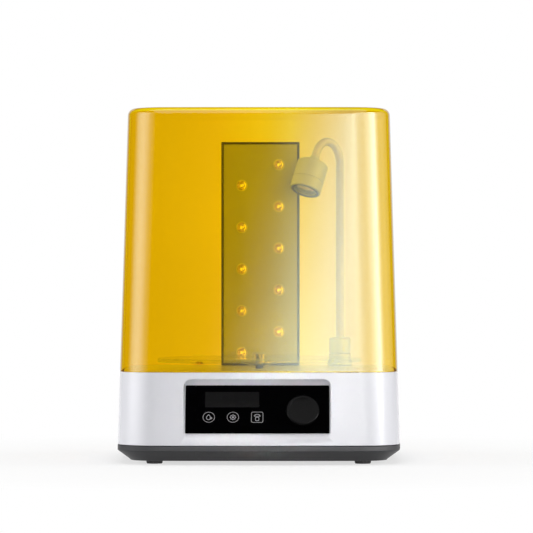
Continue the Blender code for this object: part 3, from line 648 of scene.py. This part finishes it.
def recess_prism(name, grow, front_y, plane_shift):
    """The space in front of the recess's sloping plane."""
    middle_z = (RECESS_LOW_Z + RECESS_HIGH_Z) / 2
    half_height = (RECESS_HIGH_Z - RECESS_LOW_Z) / 2 + grow
    outline = rounded_outline(RECESS_WIDTH / 2 + grow, half_height, RECESS_CORNER + grow)
    front = [Vector((PANEL_X + point.x, front_y, middle_z + point.y)) for point in outline]
    back = []
    for point in front:
        plane_y = FRONT_AT_RECESS_Y + (point.z - RECESS_LOW_Z) * math.tan(PANEL_TILT)
        back.append(Vector((point.x, plane_y + plane_shift / math.cos(PANEL_TILT), point.z)))
    return piece(name, lofted([front, back]), None)


def rear_hole(name, x, half_x, half_z, depth):
    """A square opening through the back of the housing, at the height of the sockets."""
    low = (x - half_x, REAR_FACE_Y - depth, SOCKET_Z - half_z)
    high = (x + half_x, REAR_FACE_Y + 0.003, SOCKET_Z + half_z)
    return block(name, low, high)


def make_housing():
    groove_floor_z = 0.0812
    edge = 0.0005
    levels = [
        (DECK_UNDER_Z, 0.0060),
        (groove_floor_z - WALL, 0.0060),
        (groove_floor_z - WALL, WALL),
        (HOUSING_BOTTOM_Z, WALL),
        (HOUSING_BOTTOM_Z, edge),
        (HOUSING_BOTTOM_Z + edge * 0.3, edge * 0.3),
        (HOUSING_BOTTOM_Z + edge, 0.0),
        (RIM_Z - edge, 0.0),
        (RIM_Z - edge * 0.3, edge * 0.3),
        (RIM_Z, edge),
        (RIM_Z, 0.0012),
        (groove_floor_z, 0.0012),
        (groove_floor_z, 0.0036),
        (DECK_Z, 0.0036),
    ]
    housing = piece("housing", lofted([casing_outline(height, inset) for height, inset in levels]), WHITE)
    joins = [recess_prism("recess_pan", 0.0025, -0.1172, 0.0025)]
    joins += [peg("boss", 0.0050, 0.0260, 0.0835, at=place) for place in SCREW_PLACES]
    cuts = [recess_prism("recess_space", 0.0, -0.1400, 0.0)]
    cuts += [peg("boss_hole", SCREW_HOLE_RADIUS, 0.0100, 0.0460, at=place) for place in SCREW_PLACES]
    window_play = 0.0006
    half_x, half_y = DISPLAY_SIZE[0] / 2 + window_play, DISPLAY_SIZE[1] / 2 + window_play
    window_low = (DISPLAY_AT[0] - half_x, DISPLAY_AT[1] - half_y, -0.020)
    window_high = (DISPLAY_AT[0] + half_x, DISPLAY_AT[1] + half_y, 0.010)
    cuts += [
        peg("bush_hole", 0.0070, 0.0700, 0.0900, at=(0, DRIVE_Y)),
        peg("lamp_wire_hole", 0.0040, 0.0700, 0.0900, at=(LAMP_X, LAMP_Y)),
        block("tower_wire_hole", (-0.010, 0.090, 0.070), (0.010, 0.098, 0.090)),
        block("display_window", window_low, window_high, place=PANEL_FRAME),
        peg("encoder_hole", 0.0043, -0.020, 0.010, at=KNOB_AT, place=PANEL_FRAME),
        rear_hole("inlet_hole", INLET_X, 0.0058, 0.0058, 0.012),
        rear_hole("switch_hole", SWITCH_X, 0.0108, 0.0078, 0.013),
    ]
    shaped(housing, cuts, joins, bevel=0.0007)
    stands_for(housing, "base", "upper_housing", slot="white_plastic")


# ------ control panel


def make_panel():
    half_x, half_y = PANEL_SIZE[0] / 2, PANEL_SIZE[1] / 2
    edge = 0.0003
    levels = [(GAP, edge), (GAP + edge, 0.0), (PANEL_TOP - edge, 0.0), (PANEL_TOP, edge)]
    sections = [
        at_height(rounded_outline(half_x - inset, half_y - inset, 0.0011), height) for height, inset in levels
    ]
    panel = piece("panel", lofted(sections), PANEL_BLACK, PANEL_FRAME)
    shaped(panel, [peg("shaft_hole", 0.0035, -0.010, 0.010, at=KNOB_AT, place=PANEL_FRAME)])
    stands_for(panel, "base", "control_panel", slot="black_gloss")
    outline = rounded_outline(DISPLAY_SIZE[0] / 2, DISPLAY_SIZE[1] / 2, 0.0006)
    sections = [at_height(outline, height) for height in (PANEL_TOP - 0.0001, PANEL_TOP + 0.00004)]
    place = PANEL_FRAME @ Matrix.Translation((*DISPLAY_AT, 0))
    stands_for(piece("display_window", lofted(sections), DISPLAY_BLACK, place), "base", slot="black_gloss")


def flat_band(mesh, outer, inner, low=0.0, high=0.00006):
    """A thin raised band between two outlines of the same number of points."""
    rings = []
    for outline, height in ((inner, low), (inner, high), (outer, high), (outer, low)):
        rings.append([mesh.verts.new((x, y, height)) for x, y in outline])
    for first, second in zip(rings, rings[1:] + rings[:1]):
        for index in range(len(first)):
            following = (index + 1) % len(first)
            mesh.faces.new((first[index], first[following], second[following], second[index]))


def circle(radius, centre=(0, 0), turns=40):
    angles = [math.tau * turn / turns for turn in range(turns)]
    return [(centre[0] + radius * math.cos(a), centre[1] + radius * math.sin(a)) for a in angles]


def scaled(outline, factor, centre=(0, 0)):
    return [(centre[0] + (x - centre[0]) * factor, centre[1] + (y - centre[1]) * factor) for x, y in outline]


def droplet(radius, centre):
    """A drop with its point up."""
    outline = []
    for x, y in circle(1.0):
        height = max(y, 0) ** 2
        narrowed, raised = x * (1 - 0.45 * height), y + 0.55 * height
        outline.append((centre[0] + radius * narrowed, centre[1] + radius * raised))
    return outline


def petals(radius, centre, count):
    """A round shape with scalloped rays."""
    outline = []
    for x, y in circle(1.0, turns=96):
        reach = radius * (1 + 0.14 * math.cos(count * math.atan2(y, x)))
        outline.append((centre[0] + reach * x, centre[1] + reach * y))
    return outline


def make_icons():
    """The three mode marks under the display: a drop, a sun and a lamp over a vial, without words."""
    stroke = 0.92  # the inner edge of a frame, as a share of its outer edge
    line_width = 0.0005

    wash = bmesh.new()
    flat_band(wash, circle(ICON_RADIUS), circle(ICON_RADIUS * stroke))
    drop = droplet(0.0023, (-0.0002, -0.0006))
    flat_band(wash, drop, scaled(drop, 0.74, (-0.0002, -0.0003)))
    flat_band(wash, circle(0.0011, (0.0020, -0.0009)), circle(0.0004, (0.0020, -0.0009)))

    cure = bmesh.new()
    flat_band(cure, circle(ICON_RADIUS), circle(ICON_RADIUS * stroke))
    sun = petals(0.0026, (0, 0), 8)
    flat_band(cure, sun, circle(0.0019, turns=96))
    flat_band(cure, circle(0.0010), circle(0.0003))

    vial = bmesh.new()
    square = rounded_outline(ICON_RADIUS, ICON_RADIUS * 1.02, 0.0016, side_steps=2)
    square = [tuple(point) for point in square]
    flat_band(vial, square, scaled(square, stroke))
    right_side = [(0.0012, 0.0032), (0.0026, 0.0022), (0.0030, 0.0008), (0.0018, 0.0008)]
    left_side = [(-x, y) for x, y in reversed(right_side[:3])]
    hood = left_side + right_side + [(-0.0018, 0.0008)]
    flat_band(vial, hood, scaled(hood, 0.65, (0, 0.0020)))
    half_width, drop_y = 0.0018, -0.0018
    flask = [tuple(point) for point in rounded_outline(half_width, 0.0021, 0.0010, corner_steps=6)]
    flask = [(x, y + drop_y) for x, y in flask]
    flat_band(vial, flask, scaled(flask, 1 - line_width / half_width, (0, drop_y)))

    names = ("icon_wash", "icon_cure", "icon_lamp")
    for name, mesh, x in zip(names, (wash, cure, vial), ICON_XS):
        place = PANEL_FRAME @ Matrix.Translation((x, ICON_Y, PANEL_TOP))
        stands_for(piece(name, mesh, PRINT_GREY, place), "base")


def make_knob():
    rim = 0.0009
    dish = 0.00025
    skirt = 0.0016
    socket_outer, socket_bore = 0.0055, 0.0033
    place = PANEL_FRAME @ Matrix.Translation((*KNOB_AT, 0))
    ceiling = 0.0055
    profile = [
        (0, KNOB_TOP - dish),
        (KNOB_RADIUS - 3 * rim, KNOB_TOP - dish),
        (KNOB_RADIUS - 2 * rim, KNOB_TOP),
        (KNOB_RADIUS - rim, KNOB_TOP),
        (KNOB_RADIUS, KNOB_TOP - rim),
        (KNOB_RADIUS, KNOB_BOTTOM),
    ]
    profile += [(KNOB_RADIUS - skirt, KNOB_BOTTOM), (KNOB_RADIUS - skirt, ceiling), (socket_outer, ceiling)]
    profile += [(socket_outer, KNOB_BOTTOM), (socket_bore, KNOB_BOTTOM), (socket_bore, ceiling), (0, ceiling)]
    knob = turned("control_knob", profile, KNOB_BLACK, place, ease=0.0004, turns=128)
    stands_for(knob, "dial", "knob", slot="black_gloss")


# ------ turntable

DRIVE_PLACE = Matrix.Translation((0, DRIVE_Y, 0))


def make_turntable():
    bore = 0.0073
    lip = 0.0008
    low_z, high_z, rim = TURNTABLE_LOW_Z, TURNTABLE_HIGH_Z, TURNTABLE_RADIUS
    profile = [(bore, high_z), (rim - lip, high_z), (rim, high_z - lip)]
    profile += [(rim, low_z + lip), (rim - lip, low_z), (bore, low_z)]
    plate = turned("turntable_disc", profile, CLEAR, DRIVE_PLACE, closed=True, ease=0.0003, turns=192)
    stands_for(plate, "turntable", "turntable_plate", slot="clear_plastic")
    hub_top = low_z - GAP
    cap_top = SPINDLE_TOP_Z + 0.0017
    cap_radius = 0.0070
    flange_radius = 0.0190
    hub_bottom = 0.0885
    socket_radius, socket_top = SPINDLE_RADIUS + GAP, SPINDLE_TOP_Z + GAP
    profile = [(0, cap_top), (cap_radius - 0.0015, cap_top), (cap_radius, cap_top - 0.0015)]
    profile += [(cap_radius, hub_top), (flange_radius, hub_top), (flange_radius, hub_top - lip)]
    profile += [(0.0080, hub_bottom), (socket_radius, hub_bottom)]
    profile += [(socket_radius, socket_top), (0, socket_top)]
    hub = turned("turntable_boss", profile, HUB_CLEAR, DRIVE_PLACE, ease=0.0003)
    stands_for(hub, "turntable", "turntable_hub", slot="clear_plastic")


def make_spindle():
    top, bottom = SPINDLE_TOP_Z, 0.0703
    profile = [(0, top), (SPINDLE_RADIUS, top), (SPINDLE_RADIUS, bottom), (0, bottom)]
    spindle = turned("spindle", profile, DARK, DRIVE_PLACE, ease=0.0004)
    flat = SPINDLE_RADIUS * 0.8
    low_z = TURNTABLE_LOW_Z - 0.002
    cuts = [
        block("flat_front", (-0.01, DRIVE_Y - flat - 0.01, low_z), (0.01, DRIVE_Y - flat, 0.12)),
        block("flat_rear", (-0.01, DRIVE_Y + flat, low_z), (0.01, DRIVE_Y + flat + 0.01, 0.12)),
    ]
    shaped(spindle, cuts)
    stands_for(spindle, "drive", "drive_spindle", slot="dark_plastic")


# ------ LED tower


def led_place(x, z, y):
    """A frame on the tower with its Z towards the front."""
    return Matrix.Translation((x, y, z)) @ Matrix.Rotation(math.radians(90), 4, "X")


def led_places():
    return [((-LED_X, LED_X)[index % 2], LED_LOW_Z + LED_PITCH * index) for index in range(LED_COUNT)]


def make_tower():
    foot_z = DECK_Z + GAP
    inner_x = TOWER_HALF_WIDTH - TOWER_WALL
    low_z, high_z = foot_z + TOWER_WALL, TOWER_TOP_Z - TOWER_WALL
    # The frame's near-black rim round the face is partly painted shade of the gap between frame and face.
    housing = block(
        "tower_frame",
        (-TOWER_HALF_WIDTH, TOWER_FRONT_Y, foot_z),
        (TOWER_HALF_WIDTH, TOWER_BACK_Y, TOWER_TOP_Z),
        TOWER_SIDE,
    )
    space = block("tower_space", (-inner_x, 0.070, low_z), (inner_x, TOWER_BACK_Y - TOWER_WALL, high_z))
    shaped(housing, [space], bevel=0.0005, segments=2)
    stands_for(housing, "base", "tower_housing", slot="dark_plastic")
    face = block(
        "tower_front",
        (-inner_x + GAP, TOWER_FRONT_Y + GAP, low_z + GAP),
        (inner_x - GAP, TOWER_FRONT_Y + 0.0023, high_z - GAP),
        TOWER_FACE,
    )
    hole_radius = LED_RADIUS + 0.0006
    holes = [
        peg(f"led_hole_{number}", hole_radius, -0.01, 0.01, place=led_place(x, z, TOWER_FRONT_Y))
        for number, (x, z) in enumerate(led_places())
    ]
    shaped(face, holes, bevel=0.0003, segments=2)
    stands_for(face, "base", "tower_face", slot="grey_plastic")


def make_led(number, x, z):
    """One LED: a plated cup with its lit die under a clear dome.
    Its wire post and an arc of glints on the right of the cup glow in the die's finish: painted highlight.
    """
    place = led_place(x, z, LED_BOARD_Y - GAP)
    dome_start = LED_BOARD_Y - GAP - TOWER_FRONT_Y
    dome_height = 0.0035
    angles = [math.radians(90 - 7.5 * step) for step in range(13)]
    dome = [(LED_RADIUS * math.cos(a), dome_start + dome_height * math.sin(a)) for a in angles]
    dome[0] = (0, dome_start + dome_height)
    lens = turned(f"led_lens_{number:02d}", dome + [(LED_RADIUS, 0), (0, 0)], LED_LENS, place, turns=48)
    stands_for(lens, "base", f"uv_led_{number:02d}", slot="clear_plastic")
    profile = [(0, 0.0030), (0.0018, 0.0030), (0.0042, 0.0058)]
    profile += [(0.0046, 0.0058), (0.0046, 0.0004), (0, 0.0004)]
    cup = turned(f"led_cup_{number:02d}", profile, LED_CUP, place, ease=0.0002, turns=32)
    stands_for(cup, "base")
    # The die and its wire post. The post glows in the die's finish too: painted highlight.
    die = bmesh.new()
    add_block(die, (-0.0015, -0.0013, 0.0031), (0.0003, 0.0011, 0.0046))
    add_block(die, (0.0009, -0.0004, 0.0031), (0.0017, 0.0012, 0.0052))
    # Painted highlight: glowing blocks in an arc on the right of the cup stand for the cup's lit rim.
    painted_glint_radius, painted_glint_half_x, painted_glint_half_y = 0.0035, 0.0004, 0.0008
    painted_glint_angle = 0.4  # radians from one glint to the next
    for step in range(-2, 3):
        angle = painted_glint_angle * step
        across, up = painted_glint_radius * math.cos(angle), painted_glint_radius * math.sin(angle)
        low = (across - painted_glint_half_x, up - painted_glint_half_y, 0.0040)
        high = (across + painted_glint_half_x, up + painted_glint_half_y, 0.0060)
        add_block(die, low, high)
    die_and_painted_glints = shaped(piece(f"led_die_{number:02d}", die, LED_DIE, place), bevel=0.0002, segments=2)
    stands_for(die_and_painted_glints, "base")


# ------ gooseneck lamp

STRAIGHT_LENGTH = ARCH_START_Z - NECK_START_Z
ARCH_LENGTH = ARCH_RADIUS * ARCH_ANGLE
NECK_JOINTS = [height - NECK_START_Z for height in NECK_JOINTS_Z] + [
    STRAIGHT_LENGTH,
    STRAIGHT_LENGTH + ARCH_LENGTH / 2,
    STRAIGHT_LENGTH + ARCH_LENGTH,
]


def neck_point(distance):
    """The point on the neck's centreline at a distance from its start."""
    angle = max(distance - STRAIGHT_LENGTH, 0) / ARCH_RADIUS
    lean = ARCH_RADIUS * (1 - math.cos(angle))
    rise = min(distance, STRAIGHT_LENGTH) + ARCH_RADIUS * math.sin(angle)
    return Vector((LAMP_X, LAMP_Y, NECK_START_Z + rise)) + lean * LAMP_HEADING


def neck_skin(name, start, end):
    """A length of ribbed sleeve round the centreline. Its ribs keep one pitch from length to length."""
    pitch = 0.0012
    steps_per_rib = 4
    depth = 0.00012
    turns = 28
    side = Vector((0, 0, 1)).cross(LAMP_HEADING)
    step = pitch / steps_per_rib
    count = round((end - start) / step)
    sections = []
    for index in range(count + 1):
        distance = start + (end - start) * index / count
        centre = neck_point(distance)
        angle = max(distance - STRAIGHT_LENGTH, 0) / ARCH_RADIUS
        outward = math.cos(angle) * LAMP_HEADING - math.sin(angle) * Vector((0, 0, 1))
        radius = NECK_RADIUS + depth * math.cos(math.tau * distance / pitch)
        angles = [math.tau * turn / turns for turn in range(turns)]
        directions = [math.cos(around) * outward + math.sin(around) * side for around in angles]
        sections.append([centre + radius * direction for direction in directions])
    return piece(name, lofted(sections), NECK_GREY)


def make_neck():
    """One sleeve length per neck joint, from the middle of one link to the next."""
    ends = [0.0] + [(first + second) / 2 for first, second in zip(NECK_JOINTS, NECK_JOINTS[1:])]
    ends.append(NECK_JOINTS[-1] + 0.0100)
    nodes = ["neck_stub"] + [f"neck_link_{number}" for number in range(1, 6)]
    for number, joint in enumerate(NECK_JOINTS):
        skin = neck_skin(f"neck_sleeve_{number + 1}", ends[number], ends[number + 1])
        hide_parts(nodes[number])
        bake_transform(skin)


def make_lamp_base():
    place = Matrix.Translation((LAMP_X, LAMP_Y, 0))
    bore = 0.0035
    socket_z = 0.0978
    flare = 0.0121
    foot_low, foot_top = DECK_Z + GAP, socket_z - GAP
    profile = [(bore, foot_top), (0.0105, foot_top), (0.0107, 0.0925)]
    profile += [(flare, 0.0875), (flare, foot_low), (bore, foot_low)]
    foot = turned("lamp_flare", profile, LAMP_GREY, place, closed=True, ease=0.0007)
    stands_for(foot, "base", "lamp_foot", slot="dark_plastic")
    collar = 0.0102
    collar_top = NECK_START_Z - GAP
    profile = [(bore, collar_top), (collar - 0.0010, collar_top), (collar, collar_top - 0.0010)]
    profile += [(collar, socket_z), (bore, socket_z)]
    socket = turned("lamp_collar", profile, LAMP_GREY, place, closed=True, ease=0.0005)
    stands_for(socket, "base", "lamp_socket", slot="dark_plastic")


def head_frame():
    """The lamp head's frame, at the end of the neck with Z along the beam."""
    up = Vector((0, 0, 1))
    direction = math.sin(ARCH_ANGLE) * LAMP_HEADING + math.cos(ARCH_ANGLE) * up
    turn = direction.to_track_quat("Z", "Y").to_matrix().to_4x4()
    return Matrix.Translation(neck_point(NECK_JOINTS[-1])) @ turn


def make_lamp_head():
    place = head_frame()
    wall, shoulder = 0.0015, 0.0012
    sleeve_radius, sleeve_end = 0.0046, 0.0047
    inner_radius, inner_top = HEAD_RADIUS - wall, HEAD_TOP + 0.0025
    profile = [(0, inner_top), (inner_radius, inner_top), (inner_radius, HEAD_SEAM), (HEAD_RADIUS, HEAD_SEAM)]
    profile += [(HEAD_RADIUS, HEAD_TOP + shoulder), (HEAD_RADIUS - shoulder, HEAD_TOP)]
    profile += [(sleeve_radius, HEAD_TOP), (sleeve_radius, sleeve_end), (0, sleeve_end)]
    shell = turned("lamp_can", profile, HEAD_METAL, place, ease=0.0004)
    stands_for(shell, "lamp_head", "lamp_head_shell", slot="aluminium")
    mouth, bore, mouth_depth = 0.0115, 0.0128, 0.0025
    chamfer, seam = 0.0006, HEAD_SEAM + GAP
    profile = [(mouth, HEAD_FRONT), (HEAD_RADIUS - chamfer, HEAD_FRONT), (HEAD_RADIUS, HEAD_FRONT - chamfer)]
    profile += [(HEAD_RADIUS, seam), (bore, seam), (bore, HEAD_FRONT - mouth_depth)]
    profile.append((mouth, HEAD_FRONT - mouth_depth))
    ring = turned("lamp_bezel", profile, HEAD_METAL, place, closed=True, ease=0.0003)
    lip_inner, lip_outer = 0.0110, 0.0136
    lip_front, lip_back = HEAD_FRONT + 0.00015, HEAD_FRONT - 0.0004
    profile = [(lip_inner, lip_front), (lip_outer, lip_front), (lip_outer, lip_back), (lip_inner, lip_back)]
    lip = turned("lamp_lens_seat", profile, RIM_GREY, place, closed=True, ease=0.0001)
    stands_for(ring, "lamp_head", "lamp_head_ring", slot="dark_plastic")
    stands_for(lip, "lamp_head")
    cone_outside = [(0.0116, 0.0352), (0.0122, 0.0352), (0.0122, 0.0346), (0.0092, 0.0300)]
    cone_inside = [(0.0046, 0.0240), (0.0036, 0.0240), (0.0070, 0.0288)]
    cone = cone_outside + cone_inside
    reflector = turned("lamp_cone", cone, BRIGHT, place, closed=True, ease=0.0002)
    stands_for(reflector, "lamp_head", "lamp_reflector", slot="aluminium")
    profile = [(0, 0.0392), (0.0060, 0.0390), (0.0108, 0.0382)]
    profile += [(0.0124, 0.0381), (0.0124, 0.0358), (0, 0.0358)]
    lens = turned("lamp_window", profile, LENS, place, ease=0.0003)
    stands_for(lens, "lamp_head", "lamp_lens", slot="clear_plastic")
    profile = [(0, 0.0249), (0.0018, 0.0249), (0.0024, 0.0245), (0.0024, 0.0239), (0, 0.0239)]
    die = turned("lamp_die", profile, LED_DIE, place, ease=0.0002, turns=32)
    stands_for(die, "lamp_head")


# ------ cover

COVER_WALL = 0.0030
COVER_FILLET = 0.0065
MAGNET_AT = (-0.060, 0.1085)


def fillet_levels(height, inset, radius, steps):
    """Levels round the top edge of the casing, from an upright wall at height to the flat top."""
    angles = [math.radians(90 * step / steps) for step in range(steps + 1)]
    return [(height + radius * math.sin(angle), inset + radius * (1 - math.cos(angle))) for angle in angles]


def make_cover():
    tongue_low_z = 0.0816
    tongue_inset = 0.0016
    rim_z = RIM_Z + GAP
    edge = 0.0004
    shoulder_z = HEIGHT - COVER_FILLET
    inner = fillet_levels(shoulder_z, COVER_WALL, COVER_FILLET - COVER_WALL, 8)
    outer = fillet_levels(shoulder_z, 0.0, COVER_FILLET, 12)
    levels = inner[::-1] + [
        (tongue_low_z, COVER_WALL),
        (tongue_low_z, tongue_inset),
        (rim_z, tongue_inset),
        (rim_z, edge),
        (rim_z + edge, 0.0),
    ]
    cover = piece("cover", lofted([casing_outline(*level) for level in levels + outer]), AMBER)
    cover.data.materials.append(AMBER_INSIDE)
    for polygon in cover.data.polygons:
        faces_in = polygon.normal.dot(Vector((0, 0, HEIGHT / 2)) - polygon.center) > 0
        polygon.material_index = 1 if faces_in else 0
    x, y = MAGNET_AT
    boss = block("magnet_boss", (x - 0.006, y - 0.006, 0.0862), (x + 0.006, y + 0.0065, 0.0950))
    pocket = peg("magnet_pocket", 0.0033, 0.0800, 0.0886, at=MAGNET_AT)
    shaped(cover, [pocket], [boss])
    stands_for(cover, "cover", "cover_shell", slot="amber_cover")


# ------ pieces kept from the CAD

KEPT_FINISHES = {
    "steel": STEEL,
    "aluminium": ALUMINIUM,
    "circuit_board": BOARD,
    "magnet": MAGNET,
    "dark_plastic": DARK,
    "black_gloss": PANEL_BLACK,
    "clear_plastic": LENS,
    "grey_plastic": TOWER_FACE,
    "white_plastic": WHITE,
    "rubber": RUBBER,
    "amber_cover": AMBER,
}


def finish_kept_nodes():
    """Gives each CAD node that is still shown its finish, and eases its edges."""
    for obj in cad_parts.values():
        if obj.hide_render:
            continue
        slot_name = obj.data.materials[0].name.split(".")[0]
        obj.data.materials.clear()
        obj.data.materials.append(KEPT_FINISHES[slot_name])
        weld = obj.modifiers.new("weld", "WELD")
        weld.merge_threshold = 0.000001
        round_edges(obj, 0.0002, 2)


# ------ stage, light and camera


def make_floor():
    """A plain pale floor that whitens out with distance, so that no horizon shows.

    Matt surfaces get no light back from it."""
    size = 6.0
    mesh = bmesh.new()
    bmesh.ops.create_grid(mesh, x_segments=1, y_segments=1, size=size)
    material = empty_material("pale_floor")
    tree = material.node_tree
    place = node(tree, "TexCoord").outputs["Object"]
    distance = node(tree, "VectorMath", {0: place}, operation="LENGTH").outputs["Value"]
    far = ranged(tree, distance, 0.65, 1.0, source=(0.14, 0.50))  # the share of pure white
    near = node(tree, "BsdfDiffuse", {"Color": (0.93, 0.93, 0.93, 1)})
    white = node(tree, "Emission", {"Color": (1, 1, 1, 1), "Strength": 1.0})
    mix = node(tree, "MixShader", {0: far, 1: near.outputs["BSDF"], 2: white.outputs["Emission"]})
    finish_with(tree, mix.outputs["Shader"])
    floor = piece("floor", mesh, material)
    floor.visible_diffuse = False


def aimed(place, target):
    """A frame at a place whose -Z looks at the target."""
    direction = Vector(target) - Vector(place)
    turn = direction.to_track_quat("-Z", "Y").to_matrix().to_4x4()
    return Matrix.Translation(place) @ turn


def area_light(name, place, target, size, watts, spread=180):
    """A soft light for the matt surfaces. Gloss sees only the cards. spread is in degrees."""
    data = bpy.data.lights.new(name, "AREA")
    data.shape = "RECTANGLE"
    data.size, data.size_y = size
    data.energy = watts
    data.spread = math.radians(spread)
    light = bpy.data.objects.new(name, data)
    bpy.context.scene.collection.objects.link(light)
    light.matrix_world = aimed(place, target)
    light.visible_glossy = False


def reflected_card(name, stops, distance=3.6, lean=0.0):
    """A tall curved card that only gloss sees. stops are (degrees round from the front, strength).

    A card that leans is turned further round with height, by lean degrees a metre."""
    low, high = -0.6, 2.2
    upright_at = 0.44
    first, last = stops[0][0], stops[-1][0]
    steps = max(2, round(abs(last - first) / 3))
    mesh = bmesh.new()
    across = mesh.loops.layers.uv.new("across")
    columns = []
    for step in range(steps + 1):
        column = []
        for height in (low, high):
            azimuth = first + (last - first) * step / steps + lean * (height - upright_at)
            angle = math.radians(azimuth)
            place = Vector((math.sin(angle) * distance, -math.cos(angle) * distance, height))
            column.append(mesh.verts.new(place))
        columns.append(column)
    for step, (left, right) in enumerate(zip(columns, columns[1:])):
        face = mesh.faces.new((left[0], right[0], right[1], left[1]))
        for loop, share in zip(face.loops, (step, step + 1, step + 1, step)):
            loop[across].uv = (share / steps, 0.5)
    material = empty_material(name)
    tree = material.node_tree
    place = node(tree, "SeparateXYZ", {0: node(tree, "TexCoord").outputs["UV"]})
    peak = max(strength for _, strength in stops)
    greys = [((azimuth - first) / (last - first), (strength / peak,) * 3) for azimuth, strength in stops]
    colour = through_stops(tree, place.outputs["X"], greys)
    glow = node(tree, "Emission", {"Color": colour, "Strength": peak})
    finish_with(tree, glow.outputs["Emission"])
    for_gloss_only(piece(name, mesh, material))


def overhead_card():
    """A sloping card above the camera that only gloss sees, for the light along the top edges."""
    mesh = bmesh.new()
    half_width = 1.6
    front, back = (-3.2, 1.3), (-0.2, 2.6)
    corners = [(-half_width, *front), (half_width, *front), (half_width, *back), (-half_width, *back)]
    mesh.faces.new([mesh.verts.new(corner) for corner in corners])
    material = empty_material("card_overhead")
    tree = material.node_tree
    glow = node(tree, "Emission", {"Color": (1, 1, 1, 1), "Strength": 2.2})
    finish_with(tree, glow.outputs["Emission"])
    for_gloss_only(piece("card_overhead", mesh, material))


def for_gloss_only(card):
    card.visible_camera = False
    card.visible_diffuse = False
    card.visible_shadow = False
    card.visible_transmission = False


# Each stop is degrees round from the front, and the strength there. The front card starts softly, and
# the side cards are strips that show as upright bands in the round corners.
FRONT_CARD = [(-1.2, 0), (0.3, 1.1), (1.4, 2.7), (2.7, 5.6), (4.6, 10), (6.5, 13.6), (12, 12), (18, 10)]
RIGHT_CARD = [
    (12, 12), (18, 9.5), (28, 7.5), (40, 7), (54, 10.5), (68, 16.5), (73, 16), (79, 7), (87, 2.8), (128, 0)
]
LEFT_CARD = [(-36, 0), (-50, 1.6), (-60, 4), (-70, 5.2), (-80, 4.8), (-90, 2.6), (-97, 0.7), (-104, 0)]
REAR_CARD = [(140, 0.3), (150, 1), (210, 1), (220, 0.3)]


def make_lights():
    middle = (0, 0, 0.15)
    area_light("key_top", (0, -0.35, 1.9), middle, (1.6, 1.4), 14)
    area_light("fill_front", (0, -3.0, 0.15), middle, (2.4, 0.8), 38)
    area_light("panel_front", (0.02, -2.2, 0.06), (0.0, -0.12, 0.05), (0.1, 0.1), 0.018, spread=4)
    area_light("side_left", (-2.4, 0.0, 0.6), middle, (1.0, 1.2), 36)
    area_light("side_right", (2.4, 0.1, 0.6), middle, (1.0, 1.2), 35)
    area_light("rear", (0, 2.4, 1.1), middle, (2.0, 1.2), 14)
    reflected_card("card_front", FRONT_CARD, distance=3.5, lean=9)
    reflected_card("card_right", RIGHT_CARD)
    reflected_card("card_left", LEFT_CARD)
    reflected_card("card_rear", REAR_CARD)
    overhead_card()


def make_world():
    """White behind the object, an even glow for matt surfaces and almost none for the gloss."""
    world = bpy.data.worlds.new("studio")
    world.use_nodes = True
    world.cycles.sampling_method = "NONE"
    tree = world.node_tree
    tree.nodes.clear()
    path = node(tree, "LightPath")
    glow = ranged(tree, path.outputs["Is Diffuse Ray"], 0.02, 0.25, source=(0.0, 1.0))
    strength = node(tree, "Math", {0: path.outputs["Is Camera Ray"], 1: glow}, operation="MAXIMUM")
    sky = node(tree, "Background", {"Color": (1, 1, 1, 1), "Strength": strength.outputs["Value"]})
    node(tree, "OutputWorld", {"Surface": sky.outputs["Background"]})
    bpy.context.scene.world = world


def make_camera():
    data = bpy.data.cameras.new("camera")
    data.sensor_width = 36.0
    data.lens = 233.2  # both in millimetres
    data.clip_start = 0.05
    data.clip_end = 50
    camera = bpy.data.objects.new("camera", data)
    bpy.context.scene.collection.objects.link(camera)
    place, target = (0.0326, -3.270, 0.1764), (0.0075, -0.120, 0.1814)
    camera.matrix_world = aimed(place, target)
    bpy.context.scene.camera = camera


def make_stage():
    make_floor()
    make_lights()
    make_world()
    make_camera()
    scene = bpy.context.scene
    scene.view_settings.view_transform = "Standard"
    scene.cycles.transparent_max_bounces = 32
    scene.cycles.use_denoising = True


# ------ all of it

make_tray()
make_feet()
make_housing()
make_panel()
make_icons()
make_knob()
make_turntable()
make_spindle()
make_tower()
for led_number, (led_x, led_z) in enumerate(led_places(), 1):
    make_led(led_number, led_x, led_z)
make_lamp_base()
make_neck()
make_lamp_head()
make_cover()
finish_kept_nodes()
make_stage()
